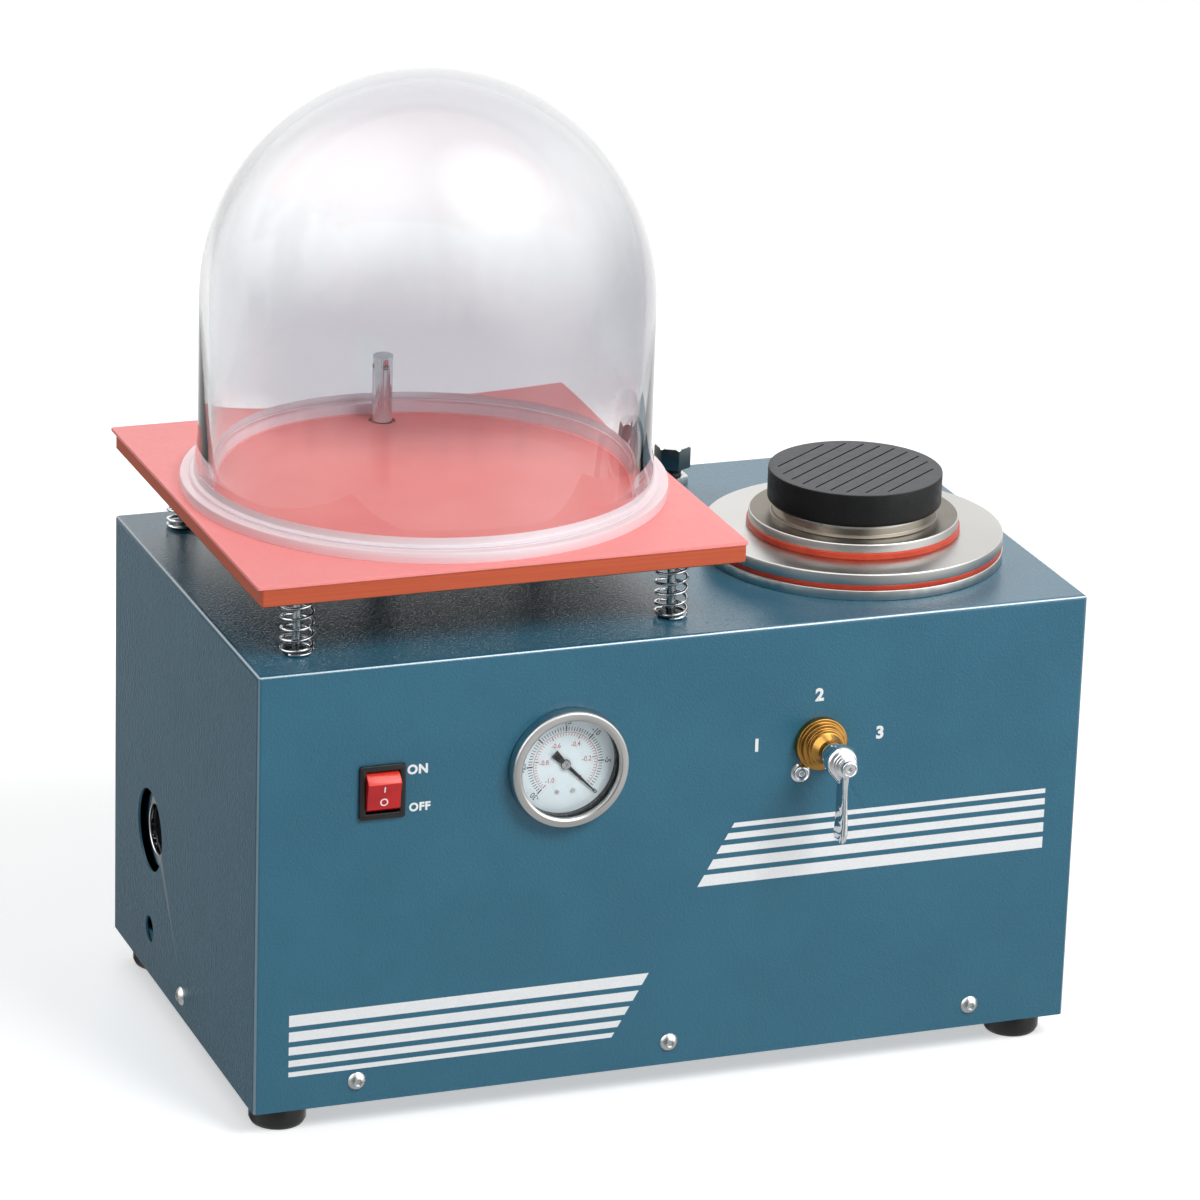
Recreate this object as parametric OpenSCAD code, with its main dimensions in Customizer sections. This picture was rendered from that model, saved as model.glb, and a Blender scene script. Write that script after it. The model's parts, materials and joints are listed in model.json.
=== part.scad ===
// Vacuum casting machine: a painted cabinet with a sprung table under a bell jar on the left
// and a casting station on the right. Millimetres, +Z up. The floor is z = 0, and the origin is
// the middle of the machine's outline on the floor: -Y is the front, with the valve lever.

/* [Cabinet] */
// Width of the cover
cab_w = 500; // [480:1:560]
// Depth of the cover
cab_d = 285; // [280:1:320]
// Height of the cover
cab_h = 263; // [258:1:300]
// Thickness of the sheet metal
sheet_t = 1.5; // [1:0.1:2.5]
// Outer radius of the folded edges
bend_r = 2.5; // [1.5:0.1:5]
// Height of the tray's upturned flange
flange_h = 26; // [22:1:32]

/* [Feet] */
// Diameter of a foot
foot_d = 33; // [26:1:38]
// Height of a foot
foot_h = 16; // [12:1:24]
// Foot centre from the cabinet's side
foot_from_side = 22; // [20:1:40]
// Foot centre from the cabinet's front or back
foot_from_front = 25; // [22:1:40]

/* [Cover screws] */
// Diameter of a screw's button head
cover_head_d = 11.4; // [9:0.1:13]
// Height of a screw's button head
cover_head_h = 3.2; // [2.4:0.1:4]
// Diameter of a screw's shank
cover_shank_d = 6; // [4:0.1:6]
// Screw height above the cover's lower edge
cover_screw_up = 13.5; // [10:0.5:16]
// Distance between screws along the front and back
cover_screw_pitch = 189; // [150:1:205]

/* [Table] */
// Table centre from the cabinet's left side
table_from_left = 143.5; // [140:0.5:150]
// Table centre behind the middle of the cabinet
table_back_shift = 1.5; // [-4:0.5:8]
// Width of the silicone pad
pad_w = 288; // [270:1:294]
// Depth of the silicone pad
pad_d = 291; // [270:1:300]
// Thickness of the silicone pad
pad_t = 2; // [1.5:0.1:4]
// Width of the plate
plate_w = 284.5; // [270:0.5:290]
// Depth of the plate
plate_d = 289; // [270:0.5:295]
// Thickness of the plate
plate_t = 10.5; // [8:0.5:16]
// Gap between the cover's top and the plate
table_gap = 40.5; // [38:0.5:50]
// Distance between studs along the width
stud_pitch_x = 222; // [200:1:230]
// Distance between studs along the depth
stud_pitch_y = 221; // [200:1:230]
// Diameter of a stud
stud_d = 5; // [4:0.1:6]
// How far the table can be pressed down
table_travel = 10; // [6:1:10]

/* [Springs] */
// Outer diameter of a spring
spring_od = 19.5; // [18:0.1:22]
// Diameter of the spring wire
wire_d = 1.7; // [1.2:0.1:1.9]
// Number of coils
coils = 7.5; // [6:0.5:8]

/* [Port tube] */
// Port centre to the right of the table's centre
port_right_shift = 10.5; // [0:0.5:40]
// Gap between the port tube and the jar's inner wall
port_to_jar = 7.35; // [5:0.05:20]
// Outer diameter of the port tube
port_d = 12.3; // [10:0.1:14]
// Height of the port tube above the pad
port_h = 42.5; // [30:0.5:60]
// Diameter of the hole in the pad around the port
port_clear_d = 16; // [15:0.5:18]

/* [Bell jar] */
// Outer diameter of the jar
jar_d = 260; // [256:1:266]
// Wall thickness of the jar
jar_wall = 6; // [4:0.5:7]
// Height of the jar's straight side
jar_side_h = 112; // [90:1:140]
// Diameter of the jar's flange
jar_flange_d = 281; // [274:1:284]
// Thickness of the jar's flange
jar_flange_t = 6.5; // [5:0.5:12]

/* [Casting station] */
// Station centre from the cabinet's right side
station_from_right = 102; // [96:1:106]
// Station centre from the cabinet's front
station_from_front = 110; // [100:1:120]
// Diameter of the base ring
ring_d = 176.5; // [170:0.5:182]
// Thickness of the base ring
ring_t = 6; // [5:0.1:9]
// Diameter of the large gasket
big_gasket_d = 175; // [165:0.5:180]
// Thickness of the large gasket
big_gasket_t = 3.2; // [3:0.1:6]
// Diameter of the large plate
big_plate_d = 175.5; // [165:0.5:180]
// Thickness of the large plate
big_plate_t = 6.4; // [4:0.1:8]
// Diameter of the small gasket
small_gasket_d = 124.7; // [116:0.1:130]
// Thickness of the small gasket
small_gasket_t = 3.8; // [3:0.1:6]
// Diameter of the small plate
small_plate_d = 122.3; // [114:0.1:128]
// Thickness of the small plate
small_plate_t = 5; // [3:0.1:6]
// Diameter of the hub on the small plate
hub_d = 96; // [90:0.5:98]
// Height of the hub
hub_h = 6.8; // [5:0.1:9]
// Diameter of the flask pad
flask_pad_d = 102; // [100:0.5:108]
// Thickness of the flask pad
flask_pad_t = 19.8; // [14:0.1:26]
// Number of grooves in the flask pad
groove_count = 9; // [5:2:9]
// Distance between grooves
groove_pitch = 9.3; // [8:0.1:10]
// Inner diameter of the casting pot
pot_bore_d = 110; // [106:1:112]
// Wall thickness of the casting pot
pot_wall = 2; // [1.5:0.1:3]
// Depth of the casting pot below the cover's top
pot_depth = 120; // [100:1:125]

/* [Valve] */
// Valve centre from the cabinet's right side
valve_from_right = 164.5; // [160:0.5:170]
// Valve centre below the cover's top
valve_down = 73; // [66:1:78]
// Diameter of the brass collar
collar_d = 31; // [27:0.5:36]
// Length of the lever from the valve axis to its end
lever_len = 48; // [40:1:60]
// How far the lever's cap stands out from the front
lever_reach = 46; // [44:0.5:55]
// Diameter of the ball
ball_d = 22; // [20:0.5:24]
// Diameter of the stem
stem_d = 8; // [7:0.1:9]

/* [Gauge] */
// Gauge centre from the cabinet's left side
gauge_from_left = 182; // [176:1:190]
// Gauge centre below the cover's top
gauge_down = 71; // [66:1:78]
// Diameter of the gauge bezel
bezel_d = 69; // [66:0.5:74]
// How far the bezel stands out from the front
bezel_h = 8; // [7:0.5:12]
// Depth of the gauge case behind the front
gauge_depth = 30; // [24:1:34]

/* [Switch] */
// Switch centre from the cabinet's left side
switch_from_left = 72.5; // [66:0.5:80]
// Switch centre below the cover's top
switch_down = 74.5; // [66:0.5:80]
// Width of the switch bezel
switch_w = 27; // [24:0.5:30]
// Height of the switch bezel
switch_h = 32; // [29:0.5:36]
// Depth of the switch body behind the front
switch_depth = 22; // [20:1:30]
// Angle through which the rocker swings
rocker_swing = 16; // [10:1:18]

/* [Pump] */
// Pump axis from the cabinet's back
pump_from_back = 76; // [74:1:84]
// Pump axis above the cover's lower edge
pump_up = 95; // [90:1:100]
// Diameter of the motor housing
motor_d = 112; // [100:1:114]
// Length of the motor housing
motor_len = 150; // [120:1:152]
// Diameter of the motor shaft
shaft_d = 12; // [10:0.5:16]
// Diameter of the window in the cover's side
window_d = 50; // [46:1:56]
// Diameter of the sight-glass ring
sight_d = 44; // [38:1:45]
// Diameter of the drain hole in the cover's side
drain_hole_d = 16; // [15:0.5:20]

/* [Hoses] */
// Outer diameter of a hose
hose_od = 12; // [10:0.5:13]
// Bore of a hose
hose_bore_d = 8; // [6:0.5:8.5]
// Bend radius of a hose's centre line
hose_bend = 17; // [15:0.5:17.5]

/* [Exhaust plug] */
// Plug centre from the cabinet's left side
plug_from_left = 340; // [336:1:342]
// Plug centre from the cabinet's back
plug_from_back = 31; // [26:1:33]
// Width across the flats of the plug's head
plug_af = 19.5; // [17:0.5:22]
// Height of the plug's head
plug_head_h = 13.6; // [10:0.1:16]
// Diameter of the plug's stem
plug_d = 11.6; // [9:0.1:12]
// Visible length of the stem between fitting and head
plug_stem_show = 5.2; // [3:0.1:8]

/* [Hidden] */
$fn = 48;
eps = 0.01;
// Clearance on each side of parts that are assembled, and radially in a running fit
fit = 0.1;
run = 0.05;
// How far a cutting shape runs past the face that it opens
over = 1;
// Gap between parts that only rest near each other
rest_gap = 0.3;

// Reference planes of the cabinet
table_back_over = table_back_shift + (pad_d - cab_d) / 2;
front_y = (lever_reach - cab_d - max(table_back_over, cover_head_h)) / 2;
back_y = front_y + cab_d;
left_x = -cab_w / 2;
right_x = cab_w / 2;
base_z = foot_h;
top_z = base_z + cab_h;
tray_top_z = base_z + sheet_t;
under_top_z = top_z - sheet_t;

// Centres of what is mounted on the cabinet
table_x = left_x + table_from_left;
table_y = front_y + cab_d / 2 + table_back_shift;
port_r = jar_d / 2 - jar_wall - port_d / 2 - port_to_jar;
port_x = table_x + port_right_shift;
port_y = table_y + sqrt(port_r * port_r - port_right_shift * port_right_shift);
station_x = right_x - station_from_right;
station_y = front_y + station_from_front;
valve_x = right_x - valve_from_right;
valve_z = top_z - valve_down;
gauge_x = left_x + gauge_from_left;
gauge_z = top_z - gauge_down;
switch_x = left_x + switch_from_left;
switch_z = top_z - switch_down;
plug_x = left_x + plug_from_left;
plug_y = back_y - plug_from_back;
pump_y = back_y - pump_from_back;
pump_z = base_z + pump_up;

// Fasteners of the cabinet
cover_screw_len = 12;
cover_socket_af = 4;
cover_nut_af = 10;
cover_nut_h = 4;
foot_screw_d = 5;
foot_head_h = 3;
foot_recess_d = 14;
foot_nut_h = 4;
foot_bevel = 3;
thread_end = 2;

// Vents: slots in the cover's back behind the motor, and in the tray under the fan
vent_count = 9;
vent_pitch = 12;
vent_w = 4;
vent_h = 60;
vent_up = 70;
vent_lead = 20;
tray_vent_count = 6;
tray_vent_pitch = 14;
tray_vent_w = 5;
tray_vent_len = 60;
tray_vent_from_motor = 8;

// Table heights and its studs
plate_z = top_z + table_gap;
pad_z = plate_z + plate_t;
pad_top_z = pad_z + pad_t;
stud_head_d = 2 * stud_d;
stud_head_h = 0.55 * stud_d;
stud_nut_af = 1.6 * stud_d;
stud_nut_h = 0.8 * stud_d;
coil_rings = 8;
spring_clear = 0.24;
bushing_flange_d = (spring_od - 2 * wire_d) * cos(180 / coil_rings) - 2 * spring_clear;
bushing_flange_t = 2;
bushing_d = 2 * stud_d;
bushing_drop = 7;
stud_lock_z = under_top_z - bushing_drop - rest_gap - stud_nut_h;
stud_end_z = stud_lock_z - thread_end - 1;
pad_shift_x = -1;
corner_r = 1.5;

// Short hose under the table, between two barbs that keep clear over the table's travel
barb_r = hose_bore_d / 2 - 0.08;
barb_bore_r = hose_bore_d / 4;
hex_collar_h = 5;
bulkhead_hex_af = 17;
bulkhead_shank_d = 12;
bulkhead_nut_h = 5;
bulkhead_tail_len = 21;
bulkhead_tail_z = under_top_z - bulkhead_nut_h - bulkhead_tail_len;
port_hole_d = 3;
port_hole_drop = 5.5;
port_end_t = 4;
table_barb_gap = table_travel + 2;
table_barb_span = table_gap - 2 * hex_collar_h - table_barb_gap;
table_hose_z0 = top_z + hex_collar_h + rest_gap;
table_hose_z1 = plate_z - hex_collar_h - rest_gap;

// Casting station heights
big_gasket_z = top_z + ring_t;
big_plate_z = big_gasket_z + big_gasket_t;
small_gasket_z = big_plate_z + big_plate_t;
small_plate_z = small_gasket_z + small_gasket_t;
hub_z = small_plate_z + small_plate_t;
flask_pad_z = hub_z + hub_h;
pot_flange_d = ring_d - 26.5;
pot_flange_t = 2;
pot_od = pot_bore_d + 2 * pot_wall;
gasket_bore_d = pot_bore_d + 6;
plate_bore_d = pot_bore_d - 6;
hub_bore_d = hub_d - 16;
pot_boss_d = 18;
pot_boss_h = 8;
pot_end_z = top_z - pot_depth - pot_boss_h;
pad_bevel = 1.5;
spigot_h = 3;
groove_w = 1;
groove_deep = 0.8;
groove_margin = 5.5;
groove_angle = 37;
ring_screw_pcd = (pot_flange_d + ring_d) / 2 - 1;
ring_screw_d = 5;
ring_screw_head_d = 8.5;
ring_screw_head_h = 3;
ring_screw_in = 4.5;
ring_screw_count = 6;

// Valve: distances are along the axis, from the front panel's outer face
body_d = 34;
body_depth = 42;
nose_d = 20;
nose_out = 8;
ball_in = 26;
collar_len = 20;
collar_steps = [[collar_d, 5], [collar_d - 4, 9], [collar_d - 8.5, 11.5]];
collar_cone_d = collar_d - 12;
collar_cone_h = 4.5;
collar_neck_d = 13;
hub_r = 9.7;
hub_neck_r = 6.5;
hub_neck = 8.5;
cap_h = 3.5;
cap_d = 10;
cap_shank_d = 4;
cap_shank_len = 8;
arm_w = 4.6;
arm_flare = 0.6;
arm_t = 12;
arm_back = 0.6;
arm_chamfer = 1.6;
hub_edge = 1;
hub_dome = 7.2;
hub_front_r = 6.6;
hub_seat = 1;
skirt_drop = hub_r + 5.2;
skirt_inset = 0.3;
skirt_back = 1.3;
skirt_tip_w = 1.2;
skirt_t = 5;
barb_len = 18;
release_d = 12;
release_len = 6;
lever_front = lever_reach - cap_h;
locate_screw_dx = -10.9;
locate_screw_dz = -17.6;
locate_head_d = 10;
locate_head_h = 3;
locate_shank_d = 5;
locate_len = 8;
small_socket_af = 3;

// Gauge
case_d = bezel_d - 7;
lens_t = 1.5;
dial_t = 1;
dial_in = 2.5;
case_flange_t = 1.5;
bezel_lip_w = 4.5;
bezel_lip_t = 2;
case_wall = 1.5;
needle_len = case_d / 2 - 6;
arbor_d = 3;
needle_hub_d = 6;
needle_t = 0.8;
needle_tail = 10;
needle_up = 0.5;
gauge_hex_af = 14;
gauge_hex_h = 6;
gauge_end = gauge_depth + gauge_hex_h;

// Switch
barrel_w = switch_w - 4;
barrel_h = switch_h - 4;
window_w = barrel_w - 3;
window_h = barrel_h - 3;
switch_face_t = 2.2;
rocker_in = 4;
rocker_r = window_h / 2 - 0.25;
rocker_face = rocker_r - 2.25;
rocker_dish = 1.1;
rocker_root = [6, 4];
rocker_waist = 2;
pivot_reach = 0.8;
pivot_d = 3;
switch_back_t = 6;
blade_pitch = 8;
blade_w = 6.3;
blade_t = 0.8;
blade_len = 8;

// Pump: distances along its axis are from the cabinet's left side
case_x0 = 8;
case_x1 = 88;
stage_x1 = 112;
oil_case_w = 108;
oil_case_up = 60;
oil_case_down = 77;
motor_x0 = stage_x1;
motor_x1 = motor_x0 + motor_len;
motor_mid_x = left_x + (motor_x0 + motor_x1) / 2;
motor_wall = 8;
rib_h = 4;
rib_count = 24;
rib_w = 2.4;
rotor_end_gap = 12;
fan_cover_len = 56;
fan_d = motor_d - 16;
fan_gap = 12;
fan_len = 22;
fan_disc_t = 2;
fan_blade_t = 2;
fan_blade_count = 8;
fan_cover_wall = 1.5;
fan_slot_count = 12;
fan_slot_w = 5;
rotor_d = motor_d - 30;
sight_drop = 3;
glass_seat_d = sight_d - 8;
sight_lip = 3;
sight_ring_h = 4;
glass_t = 6;
drain_d = 10;
drain_head_af = 12;
drain_head_h = 4;
drain_drop = 66;
oil_wall = 6;
oil_front_t = 5;
oil_back_t = 8;
oil_corner_r = 14;
base_plate_t = 4;
base_plate_len = 130;
base_w = 100;
saddle_w = 60;
saddle_t = 12;
saddle_h = 36;
saddle_pitch = 60;
pump_bolt_d = 6;
pump_bolt_af = 10;
pump_bolt_head_h = 4;
pump_bolt_nut_h = 5;
pump_bolt_pitch_x = 110;
pump_bolt_pitch_y = 80;
port_deep = 30;
shaft_x0 = case_x1 + 6;
shaft_x1 = motor_x1 + fan_gap + fan_len + 6;

// Power inlet in the back
inlet_x = right_x - 60;
inlet_z = base_z + 60;
inlet_w = 27;
inlet_h = 20;
inlet_depth = 20;
inlet_wall = 2;
inlet_back_t = 3;
inlet_rim = 3;
pin_w = 2;
pin_h = 4;
pin_pitch = 7;
pin_rise = 2;

// Hose routes
hose_gap = 1;
port_y_on_stage = pump_y - motor_d / 2;
pump_run_z = pump_z + 15;
gauge_run_z = pump_z - 15;
gauge_run_y = front_y + gauge_end + barb_len + hose_bend + 0.5;
pump_run_y = gauge_run_y + hose_od + hose_gap;
table_run_x = (gauge_x + valve_x) / 2 - 4;
chamber_run_z = pot_end_z - barb_len - hose_bend - hose_gap;
exhaust_x = left_x + 46;
exhaust_port_z = pump_z + oil_case_up;
stage_barb_x = left_x + (case_x1 + stage_x1) / 2;

// Exhaust fitting on the cover
fitting_af = 17.5;
fitting_h = 5.5;
fitting_nut_h = 5;
fitting_shank_d = plug_d + 3.4;
fitting_drop = 7;
fitting_tail_len = 12;
fitting_end_z = under_top_z - fitting_drop;
fitting_tail_z = fitting_end_z - fitting_tail_len;
exhaust_run_z = fitting_tail_z - hose_bend - 2.5;
plug_lift = 1;

// Screws of the cover: place and turn of each, with the head outwards
cover_screws = [
    for (i = [-1:1]) [i * cover_screw_pitch, front_y, 0],
    for (i = [-1:1]) [i * cover_screw_pitch, back_y, 180],
    [right_x, front_y + cab_d / 2, 90],
    [left_x, front_y + cab_d / 2, 270]
];
corners = [[-1, -1], [1, -1], [-1, 1], [1, 1]];

// ---- shared shapes ----

module rounded_rect(w, h, r) {
    square([w - 2 * r, h], center = true);
    square([w, h - 2 * r], center = true);
    for (c = corners) translate([c.x * (w / 2 - r), c.y * (h / 2 - r)]) circle(r);
}

module ring(d_out, d_in, h) {
    difference() {
        cylinder(d = d_out, h = h);
        translate([0, 0, -over]) cylinder(d = d_in, h = h + 2 * over);
    }
}

module hex_prism(af, h) {
    cylinder(d = af / cos(30), h = h, $fn = 6);
}

module nut(af, bore_d, h) {
    difference() {
        hex_prism(af, h);
        translate([0, 0, -over]) cylinder(d = bore_d, h = h + 2 * over);
    }
}

// Button-head screw: the head stands on z = 0, the shank goes down
module button_screw(head_d, head_h, shank_d, len, socket_af) {
    sphere_r = (head_d * head_d / 4 + head_h * head_h) / (2 * head_h);
    difference() {
        union() {
            intersection() {
                translate([0, 0, head_h - sphere_r]) sphere(sphere_r);
                cylinder(d = head_d, h = head_h);
            }
            translate([0, 0, -len]) cylinder(d = shank_d, h = len + head_h / 2);
        }
        translate([0, 0, head_h / 2]) hex_prism(socket_af, head_h);
    }
}

// +Z of the child points out of the front panel
module out_of_front(x, z) {
    translate([x, front_y, z]) rotate([90, 0, 0]) children();
}

// +Z of the child points along +X on the pump's axis
module on_pump_axis(from_left) {
    translate([left_x + from_left, pump_y, pump_z]) rotate([0, 90, 0]) children();
}

module at_cover_screws() {
    for (s = cover_screws)
        translate([s.x, s.y, base_z + cover_screw_up])
            rotate([0, 0, s.z]) rotate([90, 0, 0]) children();
}

module at_feet() {
    for (c = corners)
        translate([c.x * (cab_w / 2 - foot_from_side),
                front_y + cab_d / 2 + c.y * (cab_d / 2 - foot_from_front), 0])
            children();
}

module at_studs() {
    for (c = corners) at_stud(c) children();
}

module at_stud(c) {
    translate([table_x + c.x * stud_pitch_x / 2, table_y + c.y * stud_pitch_y / 2, 0]) children();
}

module at_pump_bolts() {
    for (c = corners)
        translate([motor_mid_x + c.x * pump_bolt_pitch_x / 2, pump_y + c.y * pump_bolt_pitch_y / 2, 0])
            children();
}

module at_station(z) {
    translate([station_x, station_y, z]) children();
}

// ---- hoses: straight runs along the axes, joined by quarter bends ----

function unit(v) = v / norm(v);
function z_to(u) =
    u.x != 0 ? [0, 90 * u.x, 0]
    : u.y != 0 ? [-90 * u.y, 0, 0]
    : [u.z > 0 ? 0 : 180, 0, 0];

module hose_run(route, r, past_end) {
    last = len(route) - 1;
    for (i = [0:last - 1]) {
        u = unit(route[i + 1] - route[i]);
        start = route[i] + u * (i == 0 ? -past_end : hose_bend);
        stop = route[i + 1] - u * (i == last - 1 ? -past_end : hose_bend);
        translate(start) rotate(z_to(u)) cylinder(r = r, h = norm(stop - start));
    }
    for (i = [1:last - 1]) {
        u = unit(route[i] - route[i - 1]);
        v = unit(route[i + 1] - route[i]);
        w = cross(-v, u);
        c = route[i] + (v - u) * hose_bend;
        multmatrix([[-v.x, u.x, w.x, c.x], [-v.y, u.y, w.y, c.y], [-v.z, u.z, w.z, c.z]])
            rotate_extrude(angle = 90) translate([hose_bend, 0]) circle(r);
    }
}

module hose(route) {
    difference() {
        hose_run(route, hose_od / 2, 0);
        hose_run(route, hose_bore_d / 2, over);
    }
}

// ---- springs: one unbroken tube with closed end coils ----

spring_r = (spring_od - wire_d) / 2;
spring_z0 = top_z + fit + wire_d / 2;
spring_rise = table_gap - 2 * fit - wire_d;
wire_sides = 6;
spring_rings = coils * coil_rings;
end_pitch = wire_d + 0.6;
mid_pitch = (spring_rise - 2 * end_pitch) / (coils - 2);

function coil_height(t) =
    t < 1 ? t * end_pitch
    : t > coils - 1 ? spring_rise - (coils - t) * end_pitch
    : end_pitch + (t - 1) * mid_pitch;
function coil_point(t) = [spring_r * cos(360 * t), spring_r * sin(360 * t), coil_height(t)];
function coil_ring(t) = [
    for (k = [0:wire_sides - 1])
        let (a = 360 * k / wire_sides, r = spring_r + wire_d / 2 * cos(a))
        [r * cos(360 * t), r * sin(360 * t), coil_height(t) + wire_d / 2 * sin(a)]
];
spring_points = [for (i = [0:spring_rings]) each coil_ring(i / coil_rings)];
spring_faces = [
    for (i = [0:spring_rings - 1], k = [0:wire_sides - 1])
        let (a = i * wire_sides + k, b = i * wire_sides + (k + 1) % wire_sides)
        each [[a, b, a + wire_sides], [b, b + wire_sides, a + wire_sides]],
    for (k = [1:wire_sides - 2]) [0, k + 1, k],
    for (k = [1:wire_sides - 2])
        let (e = spring_rings * wire_sides) [e, e + k, e + k + 1]
];
coil_gaps = [
    for (i = [0:spring_rings], j = [i + coil_rings / 2:spring_rings])
        norm(coil_point(i / coil_rings) - coil_point(j / coil_rings)) - wire_d
];
echo(least_gap_of_a_spring_to_itself = min(coil_gaps));

module spring(i) {
    color("silver") at_stud(corners[i])
        translate([0, 0, spring_z0]) polyhedron(spring_points, spring_faces);
}

// ---- cabinet ----

module cover_shell() {
    mid_y = front_y + cab_d / 2;
    difference() {
        intersection() {
            translate([0, mid_y, base_z]) linear_extrude(cab_h) rounded_rect(cab_w, cab_d, bend_r);
            translate([0, back_y, base_z + cab_h / 2 - bend_r]) rotate([90, 0, 0])
                linear_extrude(cab_d) rounded_rect(cab_w, cab_h + 2 * bend_r, bend_r);
            translate([left_x, mid_y, base_z + cab_h / 2 - bend_r]) rotate([90, 0, 90])
                linear_extrude(cab_w) rounded_rect(cab_d, cab_h + 2 * bend_r, bend_r);
        }
        translate([left_x + sheet_t, front_y + sheet_t, base_z - over])
            cube([cab_w - 2 * sheet_t, cab_d - 2 * sheet_t, cab_h - sheet_t + over]);
    }
}

module through_top(d) {
    translate([0, 0, under_top_z - over]) cylinder(d = d, h = sheet_t + 2 * over);
}

module through_front(d) {
    translate([0, 0, -sheet_t - over]) cylinder(d = d, h = sheet_t + 2 * over);
}

module through_left(drop, d) {
    on_pump_axis(-over) translate([drop, 0, 0]) cylinder(d = d, h = sheet_t + 2 * over);
}

module vent_slots() {
    for (i = [0:vent_count - 1])
        translate([left_x + motor_x1 - vent_lead + i * vent_pitch, back_y - sheet_t - over,
                base_z + vent_up])
            cube([vent_w, sheet_t + 2 * over, vent_h]);
}

module cover() {
    color("steelblue") difference() {
        cover_shell();
        at_cover_screws() through_front(cover_shank_d + 4 * fit);
        at_studs() through_top(bushing_d + 2 * fit);
        translate([port_x, port_y, 0]) through_top(bulkhead_shank_d + 2 * fit);
        translate([plug_x, plug_y, 0]) through_top(fitting_shank_d + 2 * fit);
        at_station(0) through_top(pot_od + 2 * fit);
        at_station(0) at_ring_screws() through_top(ring_screw_d + 4 * fit);
        out_of_front(valve_x, valve_z) through_front(nose_d + 2 * fit);
        out_of_front(valve_x + locate_screw_dx, valve_z + locate_screw_dz)
            through_front(locate_shank_d + 2 * fit);
        out_of_front(gauge_x, gauge_z) through_front(case_d + 2 * fit);
        translate([switch_x, front_y + sheet_t / 2, switch_z])
            cube([barrel_w + 2 * fit, sheet_t + 2 * over, barrel_h + 2 * fit], center = true);
        through_left(sight_drop, window_d);
        through_left(drain_drop, drain_hole_d);
        translate([inlet_x, back_y - sheet_t / 2, inlet_z])
            cube([inlet_w + 2 * fit, sheet_t + 2 * over, inlet_h + 2 * fit], center = true);
        vent_slots();
    }
}

module through_tray(d) {
    translate([0, 0, base_z - over]) cylinder(d = d, h = sheet_t + 2 * over);
}

module base_tray() {
    off = sheet_t + rest_gap;
    color("steelblue") difference() {
        translate([left_x + off, front_y + off, base_z])
            cube([cab_w - 2 * off, cab_d - 2 * off, flange_h]);
        translate([left_x + off + sheet_t, front_y + off + sheet_t, tray_top_z])
            cube([cab_w - 2 * off - 2 * sheet_t, cab_d - 2 * off - 2 * sheet_t, flange_h]);
        at_cover_screws() translate([0, 0, -4 * sheet_t - over])
            cylinder(d = cover_shank_d + 4 * fit, h = 4 * sheet_t + 2 * over);
        at_feet() through_tray(foot_screw_d + 2 * fit);
        at_pump_bolts() through_tray(pump_bolt_d + 4 * fit);
        for (i = [0:tray_vent_count - 1])
            translate([left_x + motor_x1 + tray_vent_from_motor + i * tray_vent_pitch,
                    pump_y - tray_vent_len / 2, base_z - over])
                cube([tray_vent_w, tray_vent_len, sheet_t + 2 * over]);
    }
}

module cover_screws() {
    color("gainsboro") at_cover_screws()
        button_screw(cover_head_d, cover_head_h, cover_shank_d, cover_screw_len, cover_socket_af);
}

module cover_nuts() {
    color("silver") at_cover_screws() translate([0, 0, -2 * sheet_t - rest_gap - cover_nut_h])
        nut(cover_nut_af, cover_shank_d + 2 * run, cover_nut_h);
}

module feet() {
    color("black") at_feet() difference() {
        union() {
            cylinder(d1 = foot_d - foot_bevel, d2 = foot_d, h = foot_bevel);
            translate([0, 0, foot_bevel]) cylinder(d = foot_d, h = foot_h - foot_bevel);
        }
        translate([0, 0, -over]) cylinder(d = foot_recess_d, h = foot_h / 2 + over);
        cylinder(d = foot_screw_d + 2 * fit, h = foot_h + over);
    }
}

module foot_screws() {
    color("silver") at_feet() {
        translate([0, 0, foot_h / 2 - foot_head_h]) cylinder(d = foot_recess_d - 2, h = foot_head_h);
        translate([0, 0, foot_h / 2 - eps])
            cylinder(d = foot_screw_d, h = foot_h / 2 + sheet_t + foot_nut_h + thread_end);
        translate([0, 0, tray_top_z]) nut(1.6 * foot_screw_d, foot_screw_d + 2 * run, foot_nut_h);
    }
}

// ---- table ----

module stud_bushings() {
    color("black") at_studs() difference() {
        union() {
            translate([0, 0, top_z]) cylinder(d = bushing_flange_d, h = bushing_flange_t);
            translate([0, 0, under_top_z - bushing_drop])
                cylinder(d = bushing_d, h = bushing_drop + sheet_t + eps);
        }
        translate([0, 0, under_top_z - bushing_drop - over])
            cylinder(d = stud_d + 2 * run, h = bushing_drop + sheet_t + bushing_flange_t + 2 * over);
    }
}

module table_plate() {
    color("chocolate") difference() {
        translate([table_x, table_y, plate_z]) linear_extrude(plate_t)
            rounded_rect(plate_w, plate_d, corner_r);
        at_studs() translate([0, 0, plate_z - over])
            cylinder(d = stud_d + 2 * fit, h = plate_t + 2 * over);
        at_studs() translate([0, 0, pad_z - stud_head_h - fit])
            cylinder(d1 = stud_d + 2 * fit, d2 = stud_head_d + 4 * fit, h = stud_head_h + 2 * fit);
        translate([port_x, port_y, plate_z - over])
            cylinder(d = port_d + 2 * fit, h = plate_t + 2 * over);
    }
}

module table_pad() {
    color("lightpink") difference() {
        translate([table_x + pad_shift_x, table_y, pad_z]) linear_extrude(pad_t)
            rounded_rect(pad_w, pad_d, corner_r);
        translate([port_x, port_y, pad_z - over]) cylinder(d = port_clear_d, h = pad_t + 2 * over);
    }
}

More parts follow.
